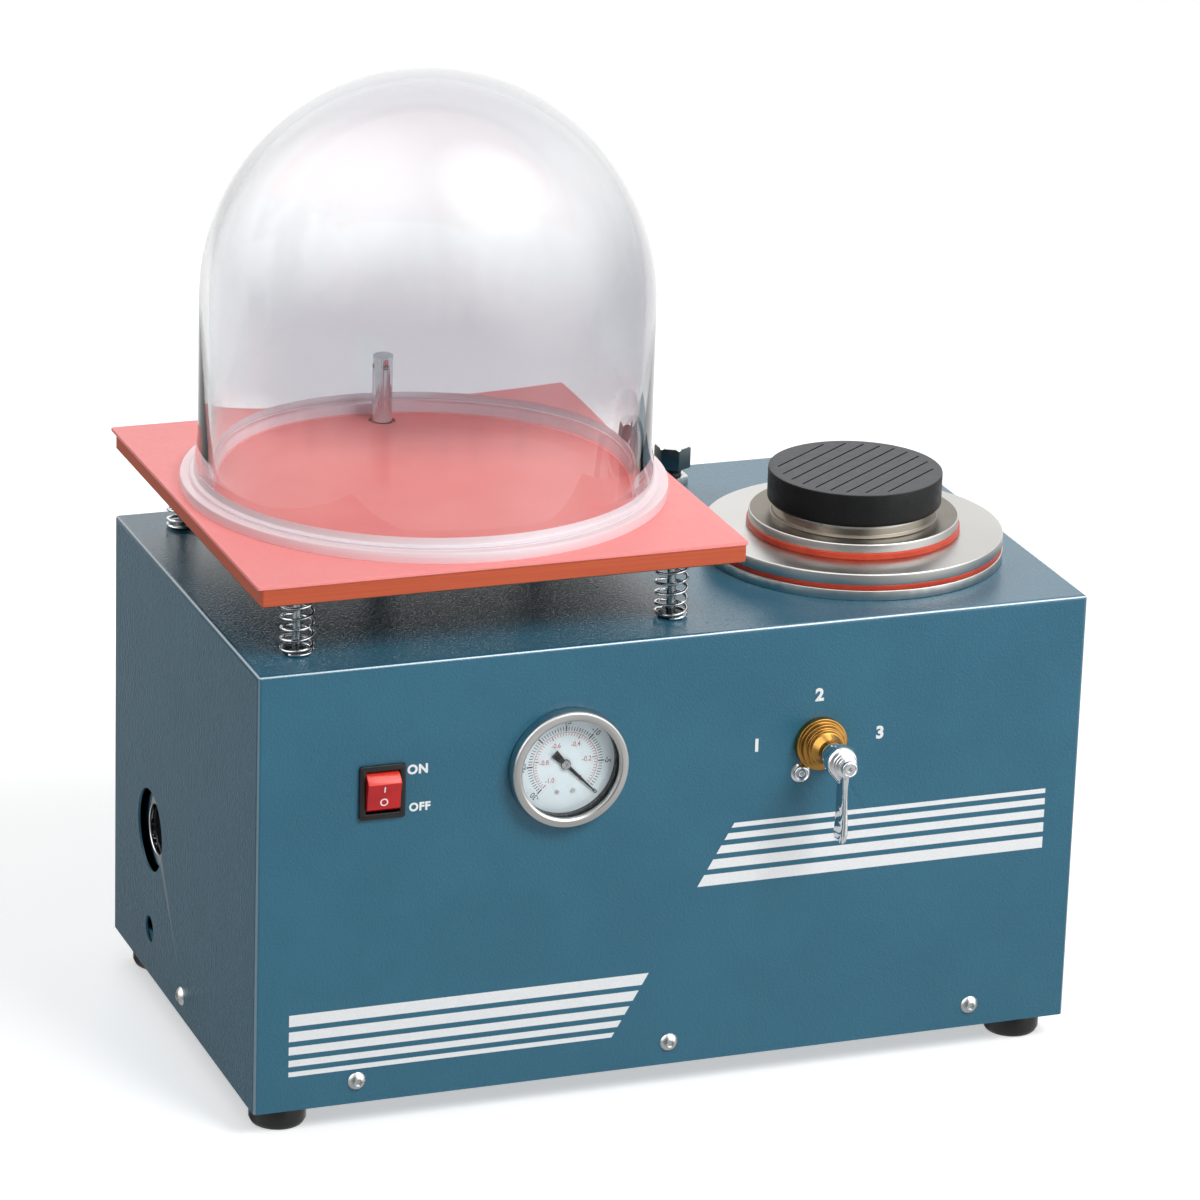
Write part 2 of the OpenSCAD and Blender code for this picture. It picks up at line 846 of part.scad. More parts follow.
module table_studs() {
    color("silver") at_studs() {
        translate([0, 0, stud_end_z]) cylinder(d = stud_d, h = pad_z - stud_head_h - stud_end_z);
        translate([0, 0, pad_z - stud_head_h - eps])
            cylinder(d1 = stud_d, d2 = stud_head_d, h = stud_head_h);
    }
}

module stud_nuts() {
    color("silver") at_studs() {
        translate([0, 0, plate_z - stud_nut_h]) nut(stud_nut_af, stud_d + 2 * run, stud_nut_h);
        translate([0, 0, stud_lock_z])
            nut(stud_nut_af, stud_d + 2 * run, stud_nut_h);
    }
}

module port_tube() {
    color("silver") translate([port_x, port_y, 0]) difference() {
        union() {
            translate([0, 0, plate_z - eps]) cylinder(d = port_d, h = plate_t + pad_t + port_h);
            translate([0, 0, plate_z - hex_collar_h]) hex_prism(bulkhead_hex_af, hex_collar_h);
            translate([0, 0, plate_z - hex_collar_h - table_barb_span / 2])
                cylinder(r = barb_r, h = table_barb_span / 2 + eps);
        }
        translate([0, 0, top_z])
            cylinder(r = barb_bore_r, h = pad_top_z + port_h - port_end_t - top_z);
        for (a = [0, 90]) translate([0, 0, pad_top_z + port_h - port_hole_drop]) rotate([90, 0, a])
            cylinder(d = port_hole_d, h = 2 * port_d, center = true);
    }
}

module table_hose() {
    color("white") translate([port_x, port_y, table_hose_z0])
        ring(hose_od, hose_bore_d, table_hose_z1 - table_hose_z0);
}

module table_bulkhead() {
    color("goldenrod") translate([port_x, port_y, 0]) {
        difference() {
            union() {
                translate([0, 0, top_z]) hex_prism(bulkhead_hex_af, hex_collar_h);
                translate([0, 0, top_z]) cylinder(r = barb_r, h = hex_collar_h + table_barb_span / 2);
                translate([0, 0, under_top_z - bulkhead_nut_h])
                    cylinder(d = bulkhead_shank_d, h = sheet_t + bulkhead_nut_h + eps);
                translate([0, 0, bulkhead_tail_z]) cylinder(r = barb_r, h = bulkhead_tail_len + over);
            }
            translate([0, 0, bulkhead_tail_z - over])
                cylinder(r = barb_bore_r, h = plate_z - bulkhead_tail_z);
        }
        translate([0, 0, under_top_z - bulkhead_nut_h])
            nut(bulkhead_hex_af, bulkhead_shank_d + 2 * run, bulkhead_nut_h);
    }
}

// Half section of a dome on a straight side, from the axis outwards
module dome_section(r) {
    square([r, jar_side_h]);
    intersection() {
        translate([0, jar_side_h]) circle(r, $fn = 96);
        square([r, jar_side_h + r]);
    }
}

module bell_jar() {
    color("aliceblue", 0.35) translate([table_x, table_y, pad_top_z])
        rotate_extrude($fn = 96) difference() {
            union() {
                dome_section(jar_d / 2);
                square([jar_flange_d / 2, jar_flange_t]);
            }
            dome_section(jar_d / 2 - jar_wall);
            translate([0, -over]) square([jar_d / 2 - jar_wall, 2 * over]);
        }
}

// ---- casting station ----

module at_ring_screws() {
    for (i = [0:ring_screw_count - 1])
        rotate(i * 360 / ring_screw_count) translate([ring_screw_pcd / 2, 0, 0]) children();
}

module base_ring() {
    color("silver") at_station(top_z) difference() {
        ring(ring_d, pot_bore_d, ring_t);
        translate([0, 0, -over])
            cylinder(d = pot_flange_d + 2 * fit, h = pot_flange_t + fit + over);
        at_ring_screws() translate([0, 0, -over])
            cylinder(d = ring_screw_d + 2 * run, h = ring_screw_in + fit + over);
    }
}

module casting_pot() {
    color("gainsboro") at_station(0) difference() {
        union() {
            translate([0, 0, top_z]) cylinder(d = pot_flange_d, h = pot_flange_t);
            translate([0, 0, top_z - pot_depth]) cylinder(d = pot_od, h = pot_depth + eps);
            translate([0, 0, pot_end_z - barb_len]) cylinder(r = barb_r, h = barb_len + over);
            translate([0, 0, pot_end_z]) cylinder(d = pot_boss_d, h = pot_boss_h + over);
        }
        translate([0, 0, top_z - pot_depth + pot_wall]) cylinder(d = pot_bore_d, h = pot_depth);
        translate([0, 0, pot_end_z - barb_len - over])
            cylinder(r = barb_bore_r, h = barb_len + pot_boss_h + pot_wall + 2 * over);
    }
}

module ring_screws() {
    color("silver") at_station(0) at_ring_screws() {
        translate([0, 0, under_top_z - ring_screw_head_h])
            cylinder(d = ring_screw_head_d, h = ring_screw_head_h);
        translate([0, 0, under_top_z - eps]) cylinder(d = ring_screw_d, h = sheet_t + ring_screw_in);
    }
}

module large_gasket() {
    color("orangered") at_station(big_gasket_z) ring(big_gasket_d, gasket_bore_d, big_gasket_t);
}

module large_plate() {
    color("silver") at_station(big_plate_z) ring(big_plate_d, plate_bore_d, big_plate_t);
}

module small_gasket() {
    color("orangered") at_station(small_gasket_z) ring(small_gasket_d, plate_bore_d, small_gasket_t);
}

module small_plate() {
    color("silver") at_station(small_plate_z) difference() {
        union() {
            cylinder(d = small_plate_d, h = small_plate_t);
            cylinder(d = hub_d, h = small_plate_t + hub_h);
        }
        translate([0, 0, -over]) cylinder(d = hub_bore_d, h = small_plate_t + hub_h + 2 * over);
    }
}

module flask_pad() {
    reach = flask_pad_d / 2 - groove_margin;
    color("dimgray") at_station(flask_pad_z) difference() {
        union() {
            cylinder(d1 = flask_pad_d - 2 * pad_bevel, d2 = flask_pad_d, h = pad_bevel);
            translate([0, 0, pad_bevel]) cylinder(d = flask_pad_d, h = flask_pad_t - pad_bevel);
            translate([0, 0, -spigot_h]) cylinder(d = hub_bore_d - 2 * rest_gap, h = spigot_h + eps);
        }
        for (i = [0:groove_count - 1]) {
            off = (i - (groove_count - 1) / 2) * groove_pitch;
            half = sqrt(reach * reach - off * off);
            rotate(groove_angle) translate([-half, off - groove_w / 2, flask_pad_t - groove_deep])
                cube([2 * half, groove_w, groove_deep + over]);
        }
    }
}

// ---- valve ----

module valve_body() {
    color("goldenrod") out_of_front(valve_x, valve_z) difference() {
        union() {
            translate([0, 0, -body_depth]) cylinder(d = body_d, h = body_depth - sheet_t);
            translate([0, 0, -sheet_t - eps]) cylinder(d = nose_d, h = sheet_t + nose_out);
            translate([0, 0, -body_depth - barb_len]) cylinder(r = barb_r, h = barb_len + over);
            translate([0, 0, -ball_in]) rotate([0, 90, 0])
                cylinder(r = barb_r, h = body_d + 2 * barb_len, center = true);
            translate([0, 0, -ball_in]) rotate([-90, 0, 0])
                cylinder(d = release_d, h = body_d / 2 + release_len);
        }
        translate([0, 0, -ball_in]) sphere(d = ball_d + 2 * fit);
        translate([0, 0, -ball_in]) cylinder(d = stem_d + 2 * run, h = ball_in + nose_out + over);
        translate([0, 0, -body_depth - barb_len - over])
            cylinder(r = barb_bore_r, h = body_depth + barb_len - ball_in + over);
        translate([0, 0, -ball_in]) rotate([0, 90, 0])
            cylinder(r = barb_bore_r, h = 2 * body_d + 2 * barb_len, center = true);
        translate([0, 0, -ball_in]) rotate([-90, 0, 0]) cylinder(r = barb_bore_r, h = body_d);
    }
}

module valve_collar() {
    color("goldenrod") out_of_front(valve_x, valve_z) difference() {
        union() {
            for (step = collar_steps) cylinder(d = step[0], h = step[1]);
            translate([0, 0, collar_steps[2][1] - eps])
                cylinder(d1 = collar_cone_d, d2 = collar_neck_d, h = collar_cone_h);
            cylinder(d = collar_neck_d, h = collar_len);
        }
        translate([0, 0, -over]) cylinder(d = nose_d + 2 * run, h = nose_out + run + over);
        cylinder(d = stem_d + 2 * run, h = collar_len + over);
    }
}

module valve_ball() {
    color("silver") out_of_front(valve_x, valve_z) difference() {
        union() {
            translate([0, 0, -ball_in]) sphere(d = ball_d);
            translate([0, 0, -ball_in]) cylinder(d = stem_d, h = ball_in + lever_front - fit);
        }
        translate([0, 0, -ball_in - ball_d]) cylinder(r = barb_bore_r, h = ball_d);
        translate([0, 0, -ball_in]) rotate([90, 0, 0]) cylinder(r = barb_bore_r, h = ball_d);
        translate([0, 0, lever_front - cap_shank_len - over])
            cylinder(d = cap_shank_d + 2 * run, h = cap_shank_len + 2 * over);
    }
}

// Front outline of the lever's arm: a blade that widens a little to its rounded end
module arm_outline() {
    end_w = arm_w / 2 + arm_flare;
    polygon([[-arm_w / 2, 0], [-end_w, arm_chamfer - lever_len], [arm_chamfer - end_w, -lever_len],
        [end_w - arm_chamfer, -lever_len], [end_w, arm_chamfer - lever_len], [arm_w / 2, 0]]);
}

// The lever's hub: a neck in front of the collar, a domed cup, and the seat of the cap
module lever_hub() {
    hub_z = collar_len + rest_gap;
    cup_z = hub_z + hub_neck;
    rotate_extrude() polygon([[0, hub_z], [hub_neck_r, hub_z], [hub_neck_r, cup_z],
        [hub_r - hub_edge, cup_z], [hub_r, cup_z + hub_edge],
        [hub_r, lever_front - hub_dome], [hub_front_r, lever_front - hub_seat],
        [cap_d / 2, lever_front - hub_seat], [cap_d / 2, lever_front], [0, lever_front]]);
}

// The skirt under the cup's back, which runs down to a point behind the arm
module lever_skirt() {
    reach = hub_r - skirt_inset;
    turn = acos(reach / skirt_drop);
    side = [reach * sin(turn), -reach * cos(turn)];
    translate([0, 0, collar_len + rest_gap + hub_neck + skirt_back]) linear_extrude(skirt_t)
        polygon([[0, 0], [-side[0], side[1]], [-skirt_tip_w / 2, -skirt_drop],
            [skirt_tip_w / 2, -skirt_drop], side]);
}

module valve_lever() {
    color("gainsboro") out_of_front(valve_x, valve_z) difference() {
        union() {
            lever_hub();
            lever_skirt();
            translate([0, 0, lever_front - arm_back - arm_t]) linear_extrude(arm_t) arm_outline();
        }
        translate([0, 0, collar_len]) cylinder(d = stem_d + 2 * run, h = lever_reach);
    }
}

module valve_cap() {
    color("gainsboro") out_of_front(valve_x, valve_z) translate([0, 0, lever_front + run])
        button_screw(cap_d, cap_h - run, cap_shank_d, cap_shank_len, small_socket_af);
}

module panel_screw() {
    color("gainsboro") out_of_front(valve_x + locate_screw_dx, valve_z + locate_screw_dz)
        button_screw(locate_head_d, locate_head_h, locate_shank_d, locate_len, small_socket_af);
}

// ---- gauge ----

module gauge_case() {
    color("black") out_of_front(gauge_x, gauge_z) difference() {
        union() {
            translate([0, 0, -gauge_depth]) cylinder(d = case_d, h = gauge_depth + case_flange_t);
            cylinder(d = bezel_d - 1, h = case_flange_t);
            translate([0, 0, -gauge_end]) hex_prism(gauge_hex_af, gauge_hex_h + over);
            translate([0, 0, -gauge_end - barb_len]) cylinder(r = barb_r, h = barb_len + over);
        }
        translate([0, 0, -dial_in - dial_t]) cylinder(d = case_d - 2 * case_wall, h = gauge_depth);
        translate([0, 0, case_wall - gauge_depth])
            cylinder(d = case_d - 4 * case_wall, h = gauge_depth);
        translate([0, 0, -gauge_end - barb_len - over])
            cylinder(r = barb_bore_r, h = gauge_hex_h + barb_len + case_wall + 2 * over);
    }
}

module gauge_bezel() {
    color("silver") out_of_front(gauge_x, gauge_z) difference() {
        translate([0, 0, case_flange_t]) cylinder(d = bezel_d, h = bezel_h - case_flange_t);
        cylinder(d = bezel_d - 2 * bezel_lip_w, h = bezel_h + over);
        cylinder(d = case_d + 2 * fit, h = bezel_h - bezel_lip_t);
    }
}

module gauge_glass() {
    color("white", 0.35) out_of_front(gauge_x, gauge_z)
        translate([0, 0, bezel_h - bezel_lip_t - fit - lens_t]) cylinder(d = case_d, h = lens_t);
}

module gauge_dial() {
    color("white") out_of_front(gauge_x, gauge_z) translate([0, 0, -dial_in - dial_t])
        ring(case_d - 2 * case_wall - 2 * fit, arbor_d + 4 * fit, dial_t);
}

// The needle points to zero, down to the right, with its tail the other way
module gauge_pointer() {
    color("black") out_of_front(gauge_x, gauge_z) rotate(-45) {
        translate([0, 0, -gauge_depth / 2])
            cylinder(d = arbor_d, h = gauge_depth / 2 - dial_in + needle_up + needle_t);
        translate([0, 0, -dial_in + needle_up]) linear_extrude(needle_t) {
            circle(d = needle_hub_d);
            polygon([[0, -1.2], [needle_len, -0.3], [needle_len, 0.3], [0, 1.2]]);
            polygon([[0, -1.2], [-needle_tail, -2.6], [-needle_tail, 2.6], [0, 1.2]]);
        }
    }
}

// ---- switch ----

module switch_body() {
    color("black") out_of_front(switch_x, switch_z) difference() {
        union() {
            linear_extrude(switch_face_t) rounded_rect(switch_w, switch_h, 1.5);
            translate([-barrel_w / 2, -barrel_h / 2, -switch_depth])
                cube([barrel_w, barrel_h, switch_depth + eps]);
            for (i = [-1:1])
                translate([-blade_t / 2, i * blade_pitch - blade_w / 2, -switch_depth - blade_len])
                    cube([blade_t, blade_w, blade_len + over]);
        }
        translate([-window_w / 2, -window_h / 2, switch_back_t - switch_depth])
            cube([window_w, window_h, switch_depth + switch_face_t]);
        translate([0, 0, -rocker_in]) rotate([0, 90, 0])
            cylinder(d = pivot_d + 2 * run, h = window_w + 2 * over, center = true);
    }
}

module switch_rocker() {
    color("red") out_of_front(switch_x, switch_z) translate([0, 0, -rocker_in]) {
        rotate([rocker_swing / 2, 0, 0]) rotate([0, -90, 0])
            linear_extrude(window_w - 4 * fit, center = true) intersection() {
                circle(rocker_r);
                polygon([[-rocker_root[0], -rocker_root[1]], [-rocker_root[0], rocker_root[1]],
                    [rocker_waist, rocker_r], [rocker_face, rocker_r], [rocker_face - rocker_dish, 0],
                    [rocker_face, -rocker_r], [rocker_waist, -rocker_r]]);
            }
        rotate([0, 90, 0]) cylinder(d = pivot_d, h = window_w + 2 * pivot_reach, center = true);
    }
}

// ---- pump ----

module motor_housing() {
    bore = rotor_d + 2;
    color("slategray") on_pump_axis(motor_x0) difference() {
        union() {
            cylinder(d = motor_d, h = motor_len);
            for (i = [0:rib_count - 1]) rotate((i + 0.5) * 360 / rib_count)
                translate([motor_d / 2 - over, -rib_w / 2, motor_wall])
                    cube([rib_h + over, rib_w, motor_len - 2 * motor_wall]);
        }
        translate([0, 0, motor_wall]) cylinder(d = bore, h = motor_len - 2 * motor_wall);
        translate([0, 0, -over]) cylinder(d = shaft_d + 2 * run, h = motor_len + 2 * over);
    }
}

module motor_rotor() {
    color("silver") {
        on_pump_axis(shaft_x0) cylinder(d = shaft_d, h = shaft_x1 - shaft_x0);
        on_pump_axis(motor_x0 + motor_wall + rotor_end_gap)
            cylinder(d = rotor_d, h = motor_len - 2 * motor_wall - 2 * rotor_end_gap);
    }
}

module motor_fan() {
    hub_wall = 7;
    color("black") on_pump_axis(motor_x1 + fan_gap) difference() {
        union() {
            cylinder(d = shaft_d + 2 * hub_wall, h = fan_len);
            cylinder(d = fan_d, h = fan_disc_t);
            for (i = [0:fan_blade_count - 1]) rotate(i * 360 / fan_blade_count)
                translate([shaft_d / 2 + hub_wall - over, -fan_blade_t / 2, 0])
                    cube([(fan_d - shaft_d) / 2 - hub_wall, fan_blade_t, fan_len]);
        }
        translate([0, 0, -over]) cylinder(d = shaft_d + 2 * run, h = fan_len + 2 * over);
    }
}

module fan_cover() {
    od = motor_d - 2;
    slot_in = 12;
    slot_out = 10;
    color("black") on_pump_axis(motor_x1) difference() {
        cylinder(d = od, h = fan_cover_len);
        translate([0, 0, -over])
            cylinder(d = od - 2 * fan_cover_wall, h = fan_cover_len - fan_cover_wall + over);
        for (i = [0:fan_slot_count - 1]) rotate(i * 360 / fan_slot_count)
            translate([slot_in, -fan_slot_w / 2, fan_cover_len - fan_cover_wall - over])
                cube([od / 2 - slot_in - slot_out, fan_slot_w, fan_cover_wall + 2 * over]);
    }
}

module pump_stage() {
    color("dimgray") difference() {
        union() {
            on_pump_axis(case_x1) cylinder(d = motor_d - 6, h = stage_x1 - case_x1);
            for (z = [pump_run_z, gauge_run_z])
                translate([stage_barb_x, port_y_on_stage - barb_len, z]) rotate([-90, 0, 0])
                    cylinder(r = barb_r, h = barb_len + port_deep / 2);
        }
        on_pump_axis(shaft_x0 - over)
            cylinder(d = shaft_d + 2 * run, h = stage_x1 - shaft_x0 + 2 * over);
        for (z = [pump_run_z, gauge_run_z])
            translate([stage_barb_x, port_y_on_stage - barb_len - over, z]) rotate([-90, 0, 0])
                cylinder(r = barb_bore_r, h = barb_len + port_deep);
    }
}

module oil_case() {
    h = oil_case_up + oil_case_down;
    mid_z = pump_z + (oil_case_up - oil_case_down) / 2;
    color("black") difference() {
        union() {
            translate([left_x + case_x0, pump_y, mid_z]) rotate([90, 0, 90])
                linear_extrude(case_x1 - case_x0) rounded_rect(oil_case_w, h, oil_corner_r);
            translate([exhaust_x, pump_y, exhaust_port_z - over])
                cylinder(r = barb_r, h = barb_len + over);
        }
        translate([left_x + case_x0 + oil_front_t, pump_y, mid_z]) rotate([90, 0, 90])
            linear_extrude(case_x1 - case_x0 - oil_front_t - oil_back_t)
                rounded_rect(oil_case_w - 2 * oil_wall, h - 2 * oil_wall, oil_corner_r - oil_wall + 1);
        on_pump_axis(case_x0 - over) translate([sight_drop, 0, 0])
            cylinder(d = glass_seat_d + 2 * fit, h = oil_front_t + 2 * over);
        on_pump_axis(case_x0 - over) translate([drain_drop, 0, 0])
            cylinder(d = drain_d + 2 * run, h = oil_front_t + 2 * over);
        translate([exhaust_x, pump_y, exhaust_port_z - oil_wall - over])
            cylinder(r = barb_bore_r, h = oil_wall + barb_len + 2 * over);
    }
}

module sight_glass() {
    color("khaki", 0.5) on_pump_axis(case_x0 - sight_ring_h / 2) translate([sight_drop, 0, 0])
        cylinder(d = glass_seat_d, h = glass_t);
}

module sight_ring() {
    color("gainsboro") on_pump_axis(case_x0 - sight_ring_h) translate([sight_drop, 0, 0]) difference() {
        cylinder(d = sight_d, h = sight_ring_h);
        translate([0, 0, -over])
            cylinder(d = glass_seat_d - 2 * sight_lip, h = sight_ring_h + 2 * over);
        translate([0, 0, sight_ring_h / 2 - fit])
            cylinder(d = glass_seat_d + 2 * fit, h = sight_ring_h);
    }
}

module drain_plug() {
    color("silver") on_pump_axis(case_x0 - drain_head_h) translate([drain_drop, 0, 0]) {
        hex_prism(drain_head_af, drain_head_h);
        cylinder(d = drain_d, h = drain_head_h + oil_front_t + over);
    }
}

module pump_base() {
    cradle_r = motor_d / 2 + rib_h + rest_gap;
    color("dimgray") difference() {
        union() {
            translate([motor_mid_x - base_plate_len / 2, pump_y - base_w / 2, tray_top_z])
                cube([base_plate_len, base_w, base_plate_t]);
            for (s = [-1, 1])
                translate([motor_mid_x + (s * saddle_pitch - saddle_t) / 2, pump_y - saddle_w / 2,
                        tray_top_z])
                    cube([saddle_t, saddle_w, saddle_h]);
        }
        on_pump_axis(0) cylinder(r = cradle_r, h = cab_w);
        at_pump_bolts() cylinder(d = pump_bolt_d + 2 * fit, h = tray_top_z + base_plate_t + over);
    }
}

module pump_bolts() {
    color("silver") at_pump_bolts() {
        translate([0, 0, tray_top_z + base_plate_t]) hex_prism(pump_bolt_af, pump_bolt_head_h);
        translate([0, 0, base_z - pump_bolt_nut_h - 1])
            cylinder(d = pump_bolt_d, h = pump_bolt_nut_h + 1 + sheet_t + base_plate_t + eps);
        translate([0, 0, base_z - pump_bolt_nut_h])
            nut(pump_bolt_af, pump_bolt_d + 2 * run, pump_bolt_nut_h);
    }
}

// ---- hoses and fittings ----

module pump_hose() {
    end_y = front_y + body_depth + rest_gap;
    color("white") hose([[valve_x, end_y, valve_z], [valve_x, pump_run_y, valve_z],
        [valve_x, pump_run_y, pump_run_z], [stage_barb_x, pump_run_y, pump_run_z],
        [stage_barb_x, port_y_on_stage - rest_gap, pump_run_z]]);
}

module table_line() {
    y0 = front_y + ball_in;
    color("white") hose([[valve_x - body_d / 2 - rest_gap, y0, valve_z], [table_run_x, y0, valve_z],
        [table_run_x, port_y, valve_z], [port_x, port_y, valve_z],
        [port_x, port_y, under_top_z - bulkhead_nut_h - rest_gap]]);
}

module chamber_line() {
    y0 = front_y + ball_in;
    color("white") hose([[valve_x + body_d / 2 + rest_gap, y0, valve_z], [station_x, y0, valve_z],
        [station_x, y0, chamber_run_z], [station_x, station_y, chamber_run_z],
        [station_x, station_y, pot_end_z - rest_gap]]);
}

module gauge_line() {
    color("white") hose([[gauge_x, front_y + gauge_end + rest_gap, gauge_z],
        [gauge_x, gauge_run_y, gauge_z], [gauge_x, gauge_run_y, gauge_run_z],
        [stage_barb_x, gauge_run_y, gauge_run_z],
        [stage_barb_x, port_y_on_stage - rest_gap, gauge_run_z]]);
}

module exhaust_fitting() {
    color("silver") translate([plug_x, plug_y, 0]) {
        difference() {
            union() {
                translate([0, 0, top_z]) rotate(30) hex_prism(fitting_af, fitting_h);
                translate([0, 0, fitting_end_z])
                    cylinder(d = fitting_shank_d, h = top_z - fitting_end_z + eps);
                translate([0, 0, fitting_tail_z])
                    cylinder(r = barb_r, h = fitting_end_z - fitting_tail_z + eps);
            }
            translate([0, 0, fitting_end_z + sheet_t])
                cylinder(d = plug_d + 2 * run, h = fitting_drop + fitting_h + over);
            translate([0, 0, fitting_tail_z - over])
                cylinder(r = barb_bore_r, h = fitting_tail_len + sheet_t + 2 * over);
        }
        translate([0, 0, under_top_z - fitting_nut_h]) rotate(30)
            nut(fitting_af + 3, fitting_shank_d + 2 * run, fitting_nut_h);
    }
}

module exhaust_plug() {
    head_z = top_z + fitting_h + plug_stem_show;
    stem_z = fitting_end_z + sheet_t + plug_lift;
    color("gainsboro") translate([plug_x, plug_y, 0]) {
        intersection() {
            translate([0, 0, head_z]) rotate(30) hex_prism(plug_af, plug_head_h);
            translate([0, 0, head_z]) cylinder(d1 = 2.6 * plug_af, d2 = plug_af, h = plug_head_h * 1.02);
        }
        translate([0, 0, stem_z]) cylinder(d = plug_d, h = head_z - stem_z + eps);
    }
}

module exhaust_hose() {
    color("white") hose([[exhaust_x, pump_y, exhaust_port_z + rest_gap], [exhaust_x, pump_y, exhaust_run_z],
        [plug_x, pump_y, exhaust_run_z], [plug_x, plug_y, exhaust_run_z],
        [plug_x, plug_y, fitting_end_z - rest_gap]]);
}

module power_inlet() {
    color("black") translate([inlet_x, back_y, inlet_z]) rotate([-90, 0, 0]) difference() {
        union() {
            linear_extrude(inlet_wall)
                rounded_rect(inlet_w + 2 * inlet_rim, inlet_h + 2 * inlet_rim, inlet_wall);
            translate([-inlet_w / 2, -inlet_h / 2, -inlet_depth])
                cube([inlet_w, inlet_h, inlet_depth + eps]);
        }
        difference() {
            translate([inlet_wall - inlet_w / 2, inlet_wall - inlet_h / 2, inlet_back_t - inlet_depth])
                cube([inlet_w - 2 * inlet_wall, inlet_h - 2 * inlet_wall, inlet_depth + over]);
            for (i = [-1:1])
                translate([i * pin_pitch - pin_w / 2, (i == 0 ? -pin_rise : pin_rise) - pin_h / 2 - 1,
                        -inlet_depth])
                    cube([pin_w, pin_h, inlet_depth - inlet_back_t]);
        }
    }
}

cover();
base_tray();
cover_screws();
cover_nuts();
feet();
foot_screws();
stud_bushings();
spring(0);  // spring_front_left
spring(1);  // spring_front_right
spring(2);  // spring_back_left
spring(3);  // spring_back_right
table_hose();
table_bulkhead();
casting_pot();
base_ring();
ring_screws();
valve_body();
valve_collar();
panel_screw();
gauge_case();
gauge_bezel();
gauge_dial();
gauge_glass();
switch_body();
motor_housing();
fan_cover();
pump_stage();
oil_case();
sight_glass();
sight_ring();
drain_plug();
pump_base();
pump_bolts();
pump_hose();
table_line();
chamber_line();
gauge_line();
exhaust_fitting();
exhaust_hose();
power_inlet();
table_plate();
table_pad();
port_tube();
table_studs();
stud_nuts();
bell_jar();
large_gasket();
large_plate();
small_gasket();
small_plate();
flask_pad();
valve_ball();
valve_lever();
valve_cap();
gauge_pointer();
switch_rocker();
motor_rotor();
motor_fan();
exhaust_plug();
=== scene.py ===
# %% [markdown]
# # A bench vacuum casting machine
#
# The machine is a folded steel cabinet with a vacuum pump inside. On the left a sprung table
# carries a clear bell jar, under which the air is drawn out of wet investment. On the right a
# stack of plates and gaskets carries the hot flask while metal is sucked into it.
#
# The frame holds the imported solids, already in place and in metres. Each cell below either
# gives a solid a better finish or puts a finer mesh in its place. The box of the bare solids is
# kept.

import json
import math

import bmesh
import bpy
from mathutils import Matrix, Vector
from mathutils.bvhtree import BVHTree

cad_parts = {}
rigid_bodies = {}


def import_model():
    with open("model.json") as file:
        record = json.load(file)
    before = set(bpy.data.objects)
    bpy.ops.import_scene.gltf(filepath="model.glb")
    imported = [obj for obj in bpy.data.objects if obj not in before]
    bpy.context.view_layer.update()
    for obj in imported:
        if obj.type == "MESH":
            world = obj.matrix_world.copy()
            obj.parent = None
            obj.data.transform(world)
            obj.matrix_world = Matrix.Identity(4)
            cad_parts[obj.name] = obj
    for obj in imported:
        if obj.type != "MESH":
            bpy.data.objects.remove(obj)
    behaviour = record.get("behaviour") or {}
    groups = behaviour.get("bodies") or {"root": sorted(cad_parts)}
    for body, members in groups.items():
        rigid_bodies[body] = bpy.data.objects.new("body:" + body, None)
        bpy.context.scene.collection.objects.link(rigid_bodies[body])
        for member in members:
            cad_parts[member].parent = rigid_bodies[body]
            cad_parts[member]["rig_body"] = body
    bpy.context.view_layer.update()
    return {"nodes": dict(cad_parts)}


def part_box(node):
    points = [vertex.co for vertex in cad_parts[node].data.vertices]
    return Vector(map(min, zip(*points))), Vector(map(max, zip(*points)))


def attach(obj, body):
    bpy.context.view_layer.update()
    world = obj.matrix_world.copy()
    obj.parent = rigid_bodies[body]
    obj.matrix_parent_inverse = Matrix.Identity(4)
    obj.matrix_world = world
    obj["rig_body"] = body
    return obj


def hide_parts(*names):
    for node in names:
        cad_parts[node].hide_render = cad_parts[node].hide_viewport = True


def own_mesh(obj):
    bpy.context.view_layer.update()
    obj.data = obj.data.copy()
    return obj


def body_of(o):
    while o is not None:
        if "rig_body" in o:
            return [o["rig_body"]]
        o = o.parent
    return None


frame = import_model()
nodes = frame["nodes"]
MM = 0.001
MM_SIZE = Matrix.Diagonal((MM, MM, MM, 1))
X, Y, Z = Vector((1, 0, 0)), Vector((0, 1, 0)), Vector((0, 0, 1))


def shown(name, data):
    """A new object in the scene."""
    obj = bpy.data.objects.new(name, data)
    bpy.context.scene.collection.objects.link(obj)
    return obj


# %% [markdown]
# ## The camera
#
# A camera can be set by eye, or worked out. This one was worked out from the cabinet's edges:
# its place, the three angles and the focal length together put every corner where the picture
# has it. The long focal length keeps the cabinet's upright edges almost parallel.

# %% Camera
CAMERA_AT = Vector((-1.151307, -2.984042, 1.404099))
CAMERA_YAW, CAMERA_PITCH, CAMERA_ROLL = -0.3669, 0.3441, 0.0325
PICTURE_PX = 1200
FOCAL_PX = 5844.77
SENSOR_MM = 36


def camera_axes(yaw, pitch, roll):
    """Right, up and forward of a camera turned about +Z, tipped down, then rolled."""
    level = math.cos(pitch)
    forward = Vector((-math.sin(yaw) * level, math.cos(yaw) * level, -math.sin(pitch)))
    right = Vector((math.cos(yaw), math.sin(yaw), 0))
    up = right.cross(forward)
    rolled_right = right * math.cos(roll) + up * math.sin(roll)
    rolled_up = up * math.cos(roll) - right * math.sin(roll)
    return rolled_right, rolled_up, forward


